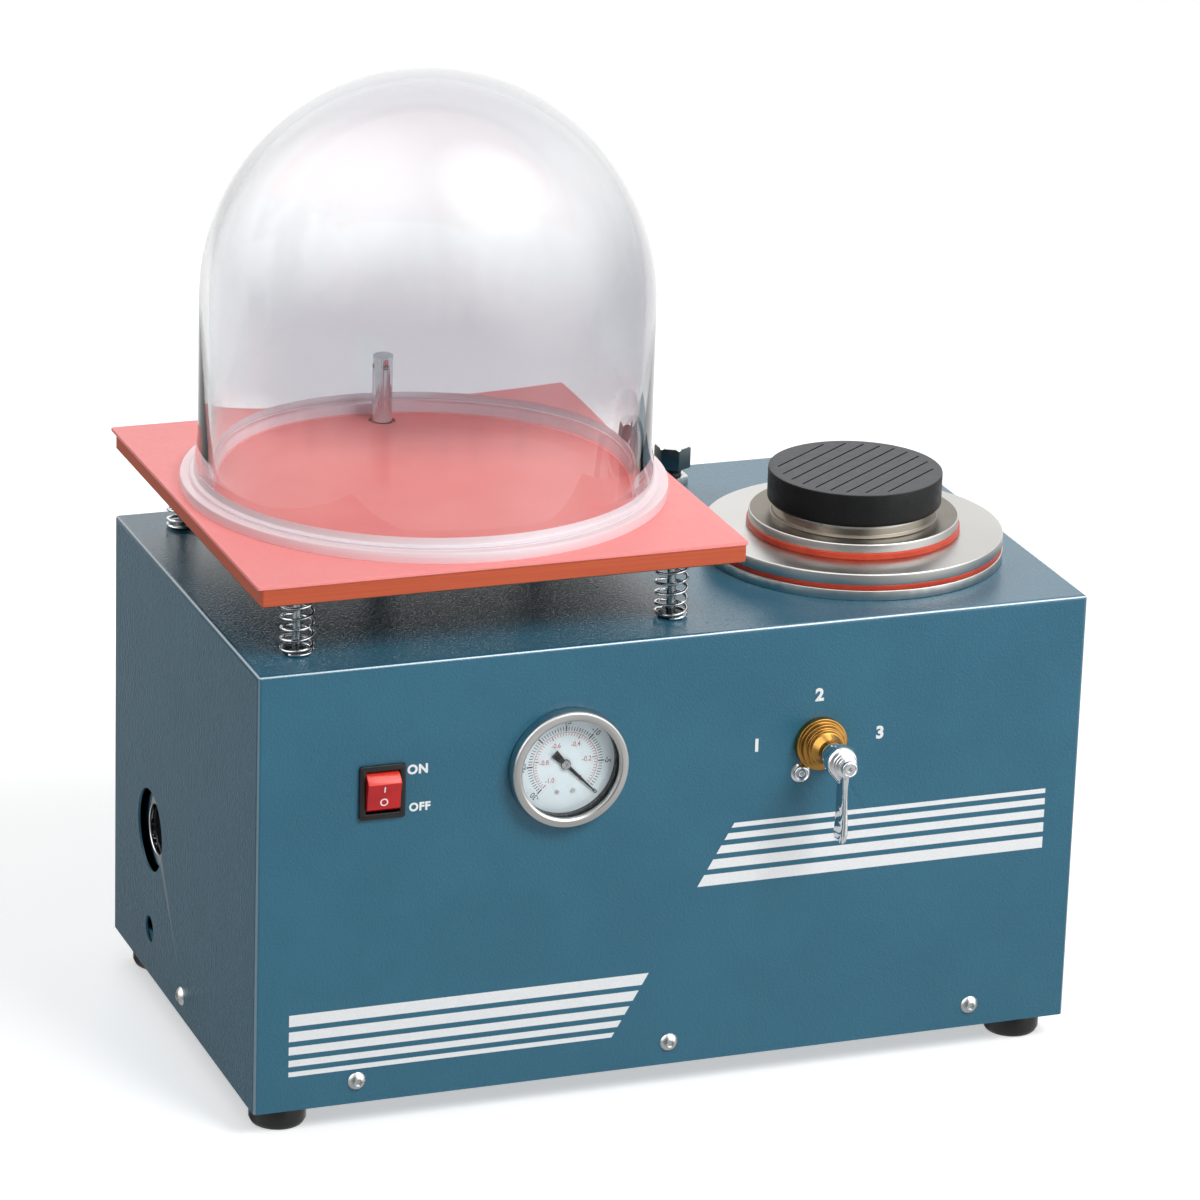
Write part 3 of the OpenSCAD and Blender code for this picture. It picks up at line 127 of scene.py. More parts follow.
def make_camera():
    data = bpy.data.cameras.new("studio_camera")
    data.sensor_width = SENSOR_MM
    data.lens = FOCAL_PX * SENSOR_MM / PICTURE_PX
    data.clip_end = 50
    camera = shown("studio_camera", data)
    right, up, forward = camera_axes(CAMERA_YAW, CAMERA_PITCH, CAMERA_ROLL)
    turn = Matrix((right, up, -forward)).transposed().to_4x4()
    camera.matrix_world = Matrix.Translation(CAMERA_AT) @ turn
    bpy.context.scene.camera = camera
    return camera


camera = make_camera()
print("lens", round(camera.data.lens, 1), "mm")

# %% [markdown]
# ## Wiring nodes
#
# The world, the materials and the Geometry Nodes are all trees of nodes. The small class below
# only shortens the writing: `feed` links a socket or writes a plain value into it, `node` adds a
# node with its settings and inputs, and the rest are the nodes that are needed all the time.


# %% A short way to wire nodes
class Wiring:
    def __init__(self, tree):
        self.tree = tree

    def feed(self, socket, value):
        """Links an output into a socket, or writes a plain value there."""
        if isinstance(value, bpy.types.NodeSocket):
            self.tree.links.new(value, socket)
        else:
            socket.default_value = value

    def node(self, kind, inputs=None, **settings):
        new_node = self.tree.nodes.new(kind)
        for word, value in settings.items():
            setattr(new_node, word, value)
        for label, value in (inputs or {}).items():
            self.feed(new_node.inputs[label], value)
        return new_node

    def math(self, operation, *values):
        return self.node("ShaderNodeMath", dict(enumerate(values)), operation=operation).outputs[0]

    def vector_math(self, operation, *values, out="Vector"):
        made_node = self.node("ShaderNodeVectorMath", dict(enumerate(values)), operation=operation)
        return made_node.outputs[out]

    def vector(self, x=0.0, y=0.0, z=0.0):
        return self.node("ShaderNodeCombineXYZ", {"X": x, "Y": y, "Z": z}).outputs[0]

    def split(self, vector):
        return self.node("ShaderNodeSeparateXYZ", {0: vector}).outputs


# %% [markdown]
# ## Studio
#
# The machine stands on a pale floor that runs on for metres, so that no horizon shows. Three
# large lamps light it softly: one above the front, one from the left and one from behind. Their
# square shapes would show as hard patches on the clear jar, so polished surfaces don't see them.
# They see the room instead: a soft world that is bright behind the machine, darker on the
# camera's side, and has broad glows where soft boxes would hang. A gentle change from bright to
# dark is what makes polished metal look like metal. The floor hides from polished surfaces too,
# so that no horizon line is drawn across the jar.

# %% Floor, lamps and world
FLOOR_SIZE = 24.0
FLOOR_DROP = 0.0004
PAPER_WHITE, PAPER_ROUGH, PAPER_GLOW = 0.8, 0.9, 0.5
MACHINE_MIDDLE = Vector((0.02, 0.0, 0.25))
ROOM_SEEN, ROOM_LIGHT = 0.78, 0.3
LAMPS = {
    # place, width, height, watts
    "key_lamp": ((0.9, -1.9, 2.2), 1.4, 1.1, 62),
    "left_lamp": ((-2.3, -0.9, 1.2), 1.4, 1.4, 2.5),
    "back_lamp": ((-0.4, 2.2, 2.0), 2.2, 1.0, 30),
}
GLOWS = (
    # direction, cosine of the angle to it where the glow starts, strength
    ((-0.73, 0.13, 0.68), 0.55, 2.6),
    ((0.62, -0.63, 0.47), 0.6, 2.8),
    ((0.33, 0.87, 0.34), 0.3, 0.9),
    ((-0.31, -0.95, 0.15), 0.55, -0.45),
    ((-0.37, 0.88, -0.3), 0.78, -0.74),
    ((0.37, -0.3, 0.88), 0.86, 4.0),
)


def lamp(name, place, width, height, watts):
    data = bpy.data.lights.new(name, "AREA")
    data.shape = "RECTANGLE"
    data.size, data.size_y = width, height
    data.energy = watts
    obj = shown(name, data)
    obj.location = place
    obj.rotation_euler = (MACHINE_MIDDLE - Vector(place)).to_track_quat("-Z", "Y").to_euler()
    obj.visible_glossy = obj.visible_transmission = False


def seen_plainly(wiring):
    """1 for rays from the camera or through glass, else 0; and 1 for rays off polish, else 0."""
    path = wiring.node("ShaderNodeLightPath").outputs
    plainly = wiring.math("MAXIMUM", path["Is Camera Ray"], path["Is Transmission Ray"])
    return plainly, path["Is Glossy Ray"]


def make_world():
    world = bpy.data.worlds.new("studio")
    bpy.context.scene.world = world
    world.use_nodes = True
    world.node_tree.nodes.clear()
    sky = Wiring(world.node_tree)
    direction = sky.node("ShaderNodeTexCoord").outputs["Generated"]
    room = ROOM_SEEN
    for towards, starts, strength in GLOWS:
        facing = sky.vector_math("DOT_PRODUCT", direction, Vector(towards).normalized(), out="Value")
        glow = sky.node(
            "ShaderNodeMapRange",
            {"Value": facing, "From Min": starts, "From Max": 1.0, "To Max": strength},
            interpolation_type="SMOOTHERSTEP",
        )
        room = sky.math("ADD", glow.outputs["Result"], room)
    plainly, off_polish = seen_plainly(sky)
    reflected = sky.math("MULTIPLY", off_polish, room)
    lit = sky.math("MULTIPLY", sky.math("SUBTRACT", 1.0, off_polish), ROOM_LIGHT)
    unseen = sky.math("MULTIPLY", sky.math("SUBTRACT", 1.0, plainly), sky.math("ADD", reflected, lit))
    background = sky.node("ShaderNodeBackground", {"Strength": sky.math("ADD", plainly, unseen)})
    sky.node("ShaderNodeOutputWorld", {"Surface": background.outputs[0]})


def make_floor():
    half = FLOOR_SIZE / 2
    mesh = bpy.data.meshes.new("studio_floor")
    corners = [(-half, -half), (half, -half), (half, half), (-half, half)]
    mesh.from_pydata([(x, y, -FLOOR_DROP) for x, y in corners], [], [(0, 1, 2, 3)])
    paper = bpy.data.materials.new("white_paper")
    paper.use_nodes = True
    wiring = Wiring(paper.node_tree)
    sockets = paper.node_tree.nodes["Principled BSDF"].inputs
    wiring.feed(sockets["Base Color"], (PAPER_WHITE, PAPER_WHITE, PAPER_WHITE, 1))
    wiring.feed(sockets["Roughness"], PAPER_ROUGH)
    wiring.feed(sockets["Emission Color"], (1, 1, 1, 1))
    wiring.feed(sockets["Emission Strength"], wiring.math("MULTIPLY", seen_plainly(wiring)[0], PAPER_GLOW))
    mesh.materials.append(paper)
    floor = shown("studio_floor", mesh)
    floor.visible_glossy = False


for name, facts in LAMPS.items():
    lamp(name, *facts)
make_world()
make_floor()
bpy.context.scene.view_settings.view_transform = "Standard"
print(len(LAMPS), "lamps and a floor of", FLOOR_SIZE, "m")

# %% [markdown]
# ## Finishes
#
# Each finish is one node material. It starts from the Principled shader, numbers that are the
# same all over go straight into its sockets, and whatever varies over the surface is noise or a
# formula on Object coordinates, which are true metres here. `srgb` turns a colour picked as
# 8-bit red, green and blue into the linear light that the shader wants.

# %% A short way to write a finish
SOCKETS = {
    "alpha": "Alpha",
    "colour": "Base Color",
    "rough": "Roughness",
    "metal": "Metallic",
    "ior": "IOR",
    "clear": "Transmission Weight",
    "coat": "Coat Weight",
    "coat_ior": "Coat IOR",
    "coat_rough": "Coat Roughness",
    "glow": "Subsurface Weight",
    "glow_depth": "Subsurface Scale",
    "brushed": "Anisotropic",
    "along": "Tangent",
    "specular": "Specular IOR Level",
}


def srgb(red, green, blue):
    def linear(v):
        v /= 255
        return v / 12.92 if v <= 0.04045 else ((v + 0.055) / 1.055) ** 2.4

    return (linear(red), linear(green), linear(blue), 1)


class Finish(Wiring):
    """A node material that starts from the Principled shader."""

    def __init__(self, name, **sockets):
        self.material = bpy.data.materials.new(name)
        self.material.use_nodes = True
        super().__init__(self.material.node_tree)
        self.shader = self.tree.nodes["Principled BSDF"]
        self.place = self.node("ShaderNodeTexCoord").outputs["Object"]
        for word, value in sockets.items():
            self.to(word, value)

    def to(self, word, value):
        self.feed(self.shader.inputs[SOCKETS[word]], value)

    def stretched(self, stretch, offset=(0, 0, 0)):
        """The surface's place in metres, stretched and shifted."""
        inputs = {"Vector": self.place, "Location": offset, "Scale": stretch}
        return self.node("ShaderNodeMapping", inputs).outputs[0]

    def noise(self, size, detail=3.0, soft=0.5, at=None):
        """Noise whose blotches are about `size` metres across."""
        inputs = {"Vector": at or self.place, "Scale": 1 / size, "Detail": detail, "Roughness": soft}
        return self.node("ShaderNodeTexNoise", inputs).outputs["Fac"]

    def spread(self, value, low, high, to_low=0.0, to_high=1.0):
        inputs = {"Value": value, "From Min": low, "From Max": high, "To Min": to_low, "To Max": to_high}
        return self.node("ShaderNodeMapRange", inputs, interpolation_type="SMOOTHSTEP").outputs["Result"]

    def blend(self, factor, first, second):
        """Mixes two colours. A Mix node keeps its colour sockets at 6 and 7."""
        return self.node("ShaderNodeMix", {"Factor": factor, 6: first, 7: second}, data_type="RGBA").outputs[2]

    def bump(self, height, depth):
        """Tilts the surface by a height that swings over `depth` metres."""
        bump = self.node("ShaderNodeBump", {"Height": height, "Distance": depth, "Strength": 1.0})
        self.feed(self.shader.inputs["Normal"], bump.outputs[0])

    def facing_up(self, low, high):
        """0 on faces that look sideways, 1 on those that look up."""
        normal = self.node("ShaderNodeNewGeometry").outputs["Normal"]
        return self.spread(self.split(normal)["Z"], low, high)

    def from_axis(self, centre, axis):
        """Distance from a line, and the direction round it, for what was turned on a lathe."""
        across = [1 - abs(a) for a in axis]
        flat = self.vector_math("MULTIPLY", self.vector_math("SUBTRACT", self.place, centre), across)
        return self.vector_math("LENGTH", flat, out="Value"), self.vector_math("CROSS_PRODUCT", axis, flat)


print("a finish can set", ", ".join(SOCKETS))

# %% [markdown]
# ## Making and placing a mesh
#
# Three ways of making a shape are enough for this machine. What was turned on a lathe is a
# profile swept round a line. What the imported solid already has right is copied, its loose
# triangles are merged, and a small bevel takes the razor edge off, because it is that thin band
# along an edge that catches the light. And what repeats or follows a path is grown by Geometry
# Nodes further down. `settle` gives any of them its finish and hangs it on the body that it
# moves with.

# %% Settling a piece on its body
SHARP = math.radians(38)


def settle(name, mesh, finish, body="root", replaces=()):
    obj = shown(name, mesh)
    mesh.materials.clear()
    mesh.materials.append(finish.material)
    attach(obj, body)
    if replaces:
        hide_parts(*replaces)
    return obj


def stand_in(node, mesh, finish, ending):
    """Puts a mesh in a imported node's place, on the node's own body."""
    return settle(node + ending, mesh, finish, body_of(nodes[node])[0], (node,))


def mesh_of(name, bm, sharp=SHARP):
    """A mesh from bmesh data, smooth except where two faces meet at more than `sharp`."""
    for face in bm.faces:
        face.smooth = True
    for edge in bm.edges:
        edge.smooth = len(edge.link_faces) == 2 and edge.calc_face_angle(0) < sharp
    mesh = bpy.data.meshes.new(name)
    bm.to_mesh(mesh)
    bm.free()
    return mesh


def paint_part(obj, finish, wanted):
    """Gives a second finish to the faces whose middle, in millimetres, passes the test."""
    obj.data.materials.append(finish.material)
    for face in obj.data.polygons:
        if wanted(face.center / MM):
            face.material_index = len(obj.data.materials) - 1


def dress(finish, *names):
    """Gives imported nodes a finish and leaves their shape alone."""
    for name in names:
        for slot in nodes[name].material_slots:
            slot.material = finish.material


# %% [markdown]
# ### Turned shapes
#
# A profile is a list of radius and height, in millimetres. Each corner may carry a third number,
# its rounding, which becomes a short arc. A point on the axis becomes a single vertex, so the
# pole of a dome is closed.

# %% Lathe
ROUNDING_STEPS = 5
ON_AXIS = 1e-6


def rounded(corners, closed=False):
    outline = []
    for i, (u, v, radius) in enumerate(corners):
        here = Vector((u, v))
        if radius == 0 or (not closed and i in (0, len(corners) - 1)):
            outline.append(tuple(here))
            continue
        back = (Vector(corners[i - 1][:2]) - here).normalized()
        on = (Vector(corners[(i + 1) % len(corners)][:2]) - here).normalized()
        half = back.angle(on) / 2
        centre = here + (back + on).normalized() * (radius / math.sin(half))
        first = here + back * (radius / math.tan(half)) - centre
        last = here + on * (radius / math.tan(half)) - centre
        for k in range(ROUNDING_STEPS + 1):
            outline.append(tuple(centre + first.slerp(last, k / ROUNDING_STEPS)))
    return outline


def angles(count):
    return [2 * math.pi * k / count for k in range(count)]


def turned(name, profile, centre, axis=Z, steps=96, closed=False):
    bm = bmesh.new()
    rings = []
    for radius, height in profile:
        spokes = [(0.0, 0.0)]
        if radius > ON_AXIS:
            spokes = [(radius * MM * math.cos(a), radius * MM * math.sin(a)) for a in angles(steps)]
        rings.append([bm.verts.new((x, y, height * MM)) for x, y in spokes])
    pairs = list(zip(rings, rings[1:])) + ([(rings[-1], rings[0])] if closed else [])
    for lower, upper in pairs:
        for k in range(steps):
            corners = [lower[k % len(lower)], lower[(k + 1) % len(lower)]]
            corners += [upper[(k + 1) % len(upper)], upper[k % len(upper)]]
            corners = list(dict.fromkeys(corners))
            if len(corners) > 2:
                bm.faces.new(corners)
    bmesh.ops.recalc_face_normals(bm, faces=bm.faces)
    bm.transform(Matrix.Translation(centre) @ turn_to(axis))
    return mesh_of(name, bm)


def turn_to(axis):
    """The turn that points +Z along an axis."""
    return Z.rotation_difference(axis).to_matrix().to_4x4()


# %% [markdown]
# ### Softened solids
#
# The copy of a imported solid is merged, and flat runs of triangles become one face. Then the
# Bevel modifier rounds only the edges that are really edges. Its result is kept as a plain mesh
# with its shading normals, so nothing is left to recompute later. Broad faces are shaded flat:
# smoothing would drag the bevel's normals across them as diagonal streaks.

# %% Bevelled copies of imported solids
BROAD_FACE = 0.0006
MERGE_GAP, THIN_FACE = 2e-6, 1e-6
FLAT_RUN = math.radians(0.4)


def box_mm(node):
    low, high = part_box(node)
    return [v / MM for v in low], [v / MM for v in high]


def baked(obj):
    """Replaces an object's mesh by what its modifiers make of it."""
    bpy.context.view_layer.update()
    graph = bpy.context.evaluated_depsgraph_get()
    mesh = bpy.data.meshes.new_from_object(
        obj.evaluated_get(graph), preserve_all_data_layers=True, depsgraph=graph
    )
    obj.modifiers.clear()
    obj.data = mesh
    return mesh


def softened(node, finish, width, least_angle=32, segments=3, wide=None):
    """A bevelled stand-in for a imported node. `wide` picks the edges that get a bigger bevel."""
    source = nodes[node]
    bm = bmesh.new()
    bm.from_mesh(source.data)
    bmesh.ops.remove_doubles(bm, verts=bm.verts, dist=MERGE_GAP)
    bmesh.ops.dissolve_degenerate(bm, edges=bm.edges, dist=THIN_FACE)
    bmesh.ops.dissolve_limit(bm, angle_limit=FLAT_RUN, verts=bm.verts, edges=bm.edges)
    weight = bm.edges.layers.float.new("bevel_weight_edge")
    biggest = width if wide is None else max(width, wide[1])
    for edge in bm.edges:
        if len(edge.link_faces) == 2 and edge.calc_face_angle(0) > math.radians(least_angle):
            broad = wide is not None and wide[0](edge)
            edge[weight] = (wide[1] if broad else width) / biggest
    for face in bm.faces:
        face.smooth = True
    mesh = bpy.data.meshes.new(node + "_finished")
    bm.to_mesh(mesh)
    bm.free()
    obj = shown(node + "_finished", mesh)
    bevel = obj.modifiers.new("edges", "BEVEL")
    bevel.limit_method = "WEIGHT"
    bevel.width = biggest * MM
    bevel.segments = segments
    bevel.use_clamp_overlap = False
    bevel.harden_normals = True
    bevel.miter_outer = "MITER_ARC"
    mesh = baked(obj)
    bpy.data.objects.remove(obj)
    for face in mesh.polygons:
        face.use_smooth = face.area < BROAD_FACE
    return stand_in(node, mesh, finish, "_finished")


# %% [markdown]
# ## Growing what repeats
#
# A spring, a hose and the marks of a dial all follow a rule, so the rule is written once as a
# Geometry Nodes tree with named sizes. `Recipe` builds such a tree and always ends it by making
# instances real and setting the material. `grown` runs it on a path, keeps the plain mesh and
# drops the modifier. An input is set through its socket's identifier, which stays the same if
# the label is ever changed.

# %% Geometry Nodes helper
class Recipe(Wiring):
    KINDS = {int: "NodeSocketInt", float: "NodeSocketFloat", tuple: "NodeSocketVector"}

    def __init__(self, name, **sizes):
        super().__init__(bpy.data.node_groups.new(name, "GeometryNodeTree"))
        face = self.tree.interface
        face.new_socket("Path", in_out="INPUT", socket_type="NodeSocketGeometry")
        for label, default in sizes.items():
            kind = self.KINDS[type(default)]
            face.new_socket(label.replace("_", " "), in_out="INPUT", socket_type=kind).default_value = default
        face.new_socket("Material", in_out="INPUT", socket_type="NodeSocketMaterial")
        face.new_socket("Geometry", in_out="OUTPUT", socket_type="NodeSocketGeometry")
        self.start = self.node("NodeGroupInput")

    def size(self, label):
        return self.start.outputs[label.replace("_", " ")]

    def add(self, kind, **inputs):
        """A node whose inputs are given by name, with _ for a space; its first output."""
        named = {label.replace("_", " "): value for label, value in inputs.items()}
        return self.node("GeometryNode" + kind, named).outputs[0]

    def numbered(self, count):
        """A row of points, and each point's number."""
        return self.add("MeshLine", Count=self.size(count)), self.add("InputIndex")

    def upright(self, size_x, size_y):
        """A rectangle that faces along Y."""
        inputs = {"Vertices X": 2, "Vertices Y": 2, "Size X": size_x, "Size Y": size_y}
        flat = self.node("GeometryNodeMeshGrid", inputs).outputs[0]
        return self.add("Transform", Geometry=flat, Rotation=(math.radians(90), 0.0, 0.0))

    def swept(self, curve, diameter, **caps):
        """A round wire or tube along a curve."""
        radius = self.math("MULTIPLY", diameter, 0.5)
        circle = self.add("CurvePrimitiveCircle", Resolution=self.size("Sides"), Radius=radius)
        return self.add("CurveToMesh", Curve=curve, Profile_Curve=circle, **caps)

    def close(self, geometry):
        real = self.add("RealizeInstances", Geometry=geometry)
        smooth = self.add("SetShadeSmooth", Geometry=real)
        coloured = self.add("SetMaterial", Geometry=smooth, Material=self.start.outputs["Material"])
        self.node("NodeGroupOutput", {0: coloured})


def grown(name, recipe, finish, path=(), wall=0.0, **sizes):
    mesh = bpy.data.meshes.new(name)
    steps = [(i, i + 1) for i in range(len(path) - 1)]
    mesh.from_pydata([tuple(c * MM for c in p) for p in path], steps, [])
    obj = shown(name, mesh)
    grow = obj.modifiers.new("grow", "NODES")
    grow.node_group = recipe.tree
    sockets = {s.name: s.identifier for s in recipe.tree.interface.items_tree if s.in_out == "INPUT"}
    for label, value in sizes.items():
        grow[sockets[label.replace("_", " ")]] = value
    grow[sockets["Material"]] = finish.material
    if wall:
        thick = obj.modifiers.new("wall", "SOLIDIFY")
        thick.thickness = wall
        thick.offset = -1
    mesh = baked(obj)
    bpy.data.objects.remove(obj)
    if not path:
        mesh.shade_flat()
    return mesh


print("lathe, softening and growing are ready")

# %% [markdown]
# ## Painted steel
#
# The cabinet is powder coated in a grey blue. Powder flows before it sets, so the surface keeps a
# soft orange peel a little over a millimetre across, and every highlight breaks up into specks.
# That is a bump made of two sizes of noise under a fairly smooth gloss. The colour drifts by a
# trace, as it does where the coat is thicker. On a fold it runs thick, and gets a clear coat.

# %% Paint and print
def peel(finish, depth):
    wide = finish.noise(0.0015, 1.5)
    fine = finish.noise(0.0007, 1.0)
    finish.bump(finish.math("ADD", wide, finish.math("MULTIPLY", fine, 0.45)), depth)


def make_paint(name, coat):
    paint = Finish(name, ior=1.5, specular=0.5, coat=coat, coat_ior=2.4, coat_rough=0.12)
    drift = paint.spread(paint.noise(0.05, 4), 0.3, 0.7)
    paint.to("colour", paint.blend(drift, srgb(46, 103, 127), srgb(49, 107, 131)))
    paint.to("rough", paint.spread(paint.noise(0.004, 3), 0.25, 0.75, 0.11, 0.17))
    peel(paint, 0.00022)
    return paint


def make_print():
    ink = Finish("white_print", ior=1.5)
    worn = ink.spread(ink.noise(0.0008, 3), 0.2, 0.8)
    ink.to("colour", ink.blend(worn, srgb(233, 236, 238), srgb(244, 246, 247)))
    ink.to("rough", ink.spread(worn, 0, 1, 0.34, 0.46))
    peel(ink, 0.00004)
    return ink


cabinet_paint = make_paint("cabinet_paint", 0.0)
fold_paint = make_paint("fold_paint", 1.0)
white_print = make_print()
print("paint and print")

# %% [markdown]
# ## The usual finish
#
# Most materials need the same three things: two tones that change over in clouds, a gloss that
# varies on a finer scale, and a bump that is finer still. What tells steel from rubber is how
# large each of them is, so one function makes them all from a table of sizes in metres.

# %% Clouds, gloss and grain
KINDS = {
    # sockets; clouds: size, detail, softness; from, to; gloss: size, detail; from, to; bump; depth
    "steel": ({"metal": 1.0}, (0.006, 4), (0.3, 0.7), (0.0008, 4), (0.2, 0.8), (0.0008, 3), 0.000015),
    "cast_metal": ({"metal": 1.0}, (0.006, 4), (0.3, 0.7), (0.0012, 4), (0.2, 0.8), (0.0012, 3), 0.000015),
    "zinc": ({"metal": 1.0}, (0.003, 3), (0.3, 0.7), (0.0006, 4), (0.2, 0.8), (0.0005, 3), 0.000008),
    "rubber": ({"ior": 1.5}, (0.012, 5, 0.6), (0.35, 0.75), (0.0015, 4), (0.2, 0.8), (0.00045, 3), 0.00003),
    "silicone": (
        {"ior": 1.43, "glow": 0.12, "glow_depth": 0.002},
        (0.015, 4), (0.3, 0.7), (0.002, 4), (0.25, 0.75), (0.0011, 3), 0.00002,
    ),
    "plastic": ({"ior": 1.5}, (0.008, 4), (0.3, 0.7), (0.002, 3), (0.3, 0.7), (0.0005, 2), 0.000012),
    "milky": (
        {"ior": 1.5, "glow": 0.4, "glow_depth": 0.0015},
        (0.008, 4), (0.3, 0.7), (0.002, 3), (0.3, 0.7), (0.0005, 2), 0.000012,
    ),
}  # fmt: skip


def cloudy(name, kind, deep, light, rough):
    sockets, clouds, cloud_span, gloss, gloss_span, grain, depth = KINDS[kind]
    finish = Finish(name, **sockets)
    tone = finish.spread(finish.noise(*clouds), *cloud_span)
    finish.to("colour", finish.blend(tone, srgb(*deep), srgb(*light)))
    finish.to("rough", finish.spread(finish.noise(*gloss), *gloss_span, *rough))
    finish.bump(finish.noise(*grain), depth)
    return finish


def make_plastic(name, colour, rough, share=0.88, kind="plastic"):
    """Its deeper tone is a share of its colour."""
    return cloudy(name, kind, [c * share for c in colour], colour, rough)


bright_zinc = cloudy("bright_zinc", "zinc", (176, 186, 192), (205, 204, 196), (0.16, 0.32))
machined_steel = cloudy("machined_steel", "steel", (154, 154, 152), (168, 168, 166), (0.25, 0.45))
cast_brass = cloudy("cast_brass", "cast_metal", (182, 138, 70), (196, 152, 84), (0.28, 0.5))
black_rubber = cloudy("black_rubber", "rubber", (15, 15, 16), (24, 25, 26), (0.3, 0.45))
red_silicone = cloudy("red_silicone", "silicone", (196, 62, 38), (208, 76, 48), (0.32, 0.46))
black_plastic = make_plastic("black_plastic", (17, 17, 18), (0.28, 0.42))
fan_plastic = make_plastic("fan_plastic", (44, 46, 48), (0.4, 0.55))
gauge_black = make_plastic("gauge_black", (26, 27, 30), (0.25, 0.4))
dial_enamel = make_plastic("dial_enamel", (234, 248, 253), (0.3, 0.36), share=0.98)
dial_black = make_plastic("dial_black", (20, 22, 28), (0.4, 0.5))
dial_red = make_plastic("dial_red", (192, 62, 52), (0.4, 0.5))
clear_hose = make_plastic("clear_hose", (198, 200, 192), (0.2, 0.32), kind="milky")

# %% [markdown]
# ## Bright metals
#
# Polished chrome is nearly a mirror: only a little roughness that varies with finger marks.
# Stainless plates were faced on a lathe, so their scratches run round the middle. Anisotropy
# along the direction round the axis draws the highlight out into the two bright fans that such a
# face shows, and a bump in rings, read from the distance to the axis, gives the tool marks. The
# colour is also painted lighter and darker from one direction to the next, as a painted
# reflection, so that a rim has lighter and darker bands.

# %% Chrome
def make_chrome(name, colour=(228, 230, 232), rough=(0.035, 0.11)):
    chrome = Finish(name, metal=1.0, colour=srgb(*colour))
    marks = chrome.noise(0.004, 4, 0.6)
    chrome.to("rough", chrome.spread(marks, 0.3, 0.75, *rough))
    chrome.bump(chrome.noise(0.0035, 2), 0.00001)
    return chrome


polished_chrome = make_chrome("polished_chrome")
spring_wire = make_chrome("spring_wire", (206, 208, 210), (0.1, 0.2))

# %% Faces turned on a lathe
STATION = (0.148, -0.01175, 0.0)
GAUGE = (-0.068, -0.12175, 0.208)
VALVE = (0.0855, -0.12175, 0.206)
TOOL_PITCH, TOOL_DEPTH = 0.0009, 0.000004
LINES_SHARE, CLOUD_SHARE = 0.7, 0.3
REFLECTION_BAND_SIZE, PAINTED_REFLECTION_DIM = 0.28, 0.88


def make_turned(name, centre, axis, colour, rough, brushed):
    metal = Finish(name, metal=1.0, brushed=brushed)
    away, around = metal.from_axis(centre, axis)
    metal.to("along", around)
    lines = metal.noise(TOOL_PITCH, 4, 0.65, at=metal.vector(away))
    cloud = metal.spread(metal.noise(0.03, 3), 0.3, 0.7)
    tone = metal.math(
        "ADD", metal.math("MULTIPLY", lines, LINES_SHARE), metal.math("MULTIPLY", cloud, CLOUD_SHARE)
    )
    faced = metal.blend(tone, srgb(*[c - 16 for c in colour]), srgb(*colour))
    # Painted reflection: the colour is dimmed in some directions round the axis, drawing bands on each rim.
    fan = metal.spread(metal.noise(REFLECTION_BAND_SIZE, 2, 0.5, at=around), 0.36, 0.62)
    metal.to("colour", metal.blend(fan, srgb(*[PAINTED_REFLECTION_DIM * c for c in colour]), faced))
    metal.to("rough", metal.spread(tone, 0.15, 0.85, *rough))
    metal.bump(lines, TOOL_DEPTH)
    return metal


turned_stainless = make_turned("turned_stainless", STATION, Z, (212, 211, 208), (0.3, 0.42), 0.6)
# Painted shadow: a darker, browner stainless for the pad's shadow on the plate round the hub.
dull_stainless = make_turned("dull_stainless", STATION, Z, (138, 131, 120), (0.3, 0.42), 0.5)
polished_stainless = make_turned("polished_stainless", STATION, Z, (222, 220, 212), (0.07, 0.16), 0.3)
bezel_stainless = make_turned("bezel_stainless", GAUGE, -Y, (212, 212, 210), (0.26, 0.36), 0.4)
turned_brass = make_turned("turned_brass", VALVE, -Y, (190, 143, 74), (0.12, 0.24), 0.35)
print(len(bpy.data.materials), "finishes so far")

# %% [markdown]
# ## Rubber, silicone and laminate
#
# Black rubber is never black: bloom and dust leave it grey, and its top is painted lighter than
# its sides, dust together with a painted sheen; scuffs show as short pale strokes. Silicone is
# softer than it is glossy and lets a little light in, which keeps its shaded side warm. The table
# is a phenolic laminate: paper pressed in layers, so its sawn edge shows fine lines that run along
# the board, and its underside is painted dark, as painted shade.

# %% Flask pad
def make_scuffed_rubber():
    """The flask pad: its top is greyer than its side, from dust and a painted sheen, and the side is scuffed."""
    rubber = Finish("scuffed_rubber", ior=1.5, specular=0.3)
    dust = rubber.noise(0.006, 6, 0.65)
    # Dust and painted sheen: faces that look up get a lighter grey than the sides.
    top = rubber.blend(rubber.spread(dust, 0.3, 0.7), srgb(62, 63, 66), srgb(76, 77, 80))
    strokes = rubber.noise(0.002, 4, 0.6, at=rubber.stretched((1, 1, 5)))
    side = rubber.blend(rubber.spread(strokes, 0.56, 0.8), srgb(13, 14, 15), srgb(46, 48, 51))
    rubber.to("colour", rubber.blend(rubber.facing_up(0.6, 0.95), side, top))
    rubber.to("rough", rubber.spread(dust, 0.25, 0.75, 0.42, 0.62))
    rubber.bump(rubber.noise(0.0006, 4), 0.00004)
    return rubber


scuffed_rubber = make_scuffed_rubber()

# %% Table sheet
TABLE = (-0.1065, 0.02225, 0.0)
SEAL_RADIUS, SEAL_EDGE, SEAL_WAVER = 0.1235, 0.0009, 0.0016


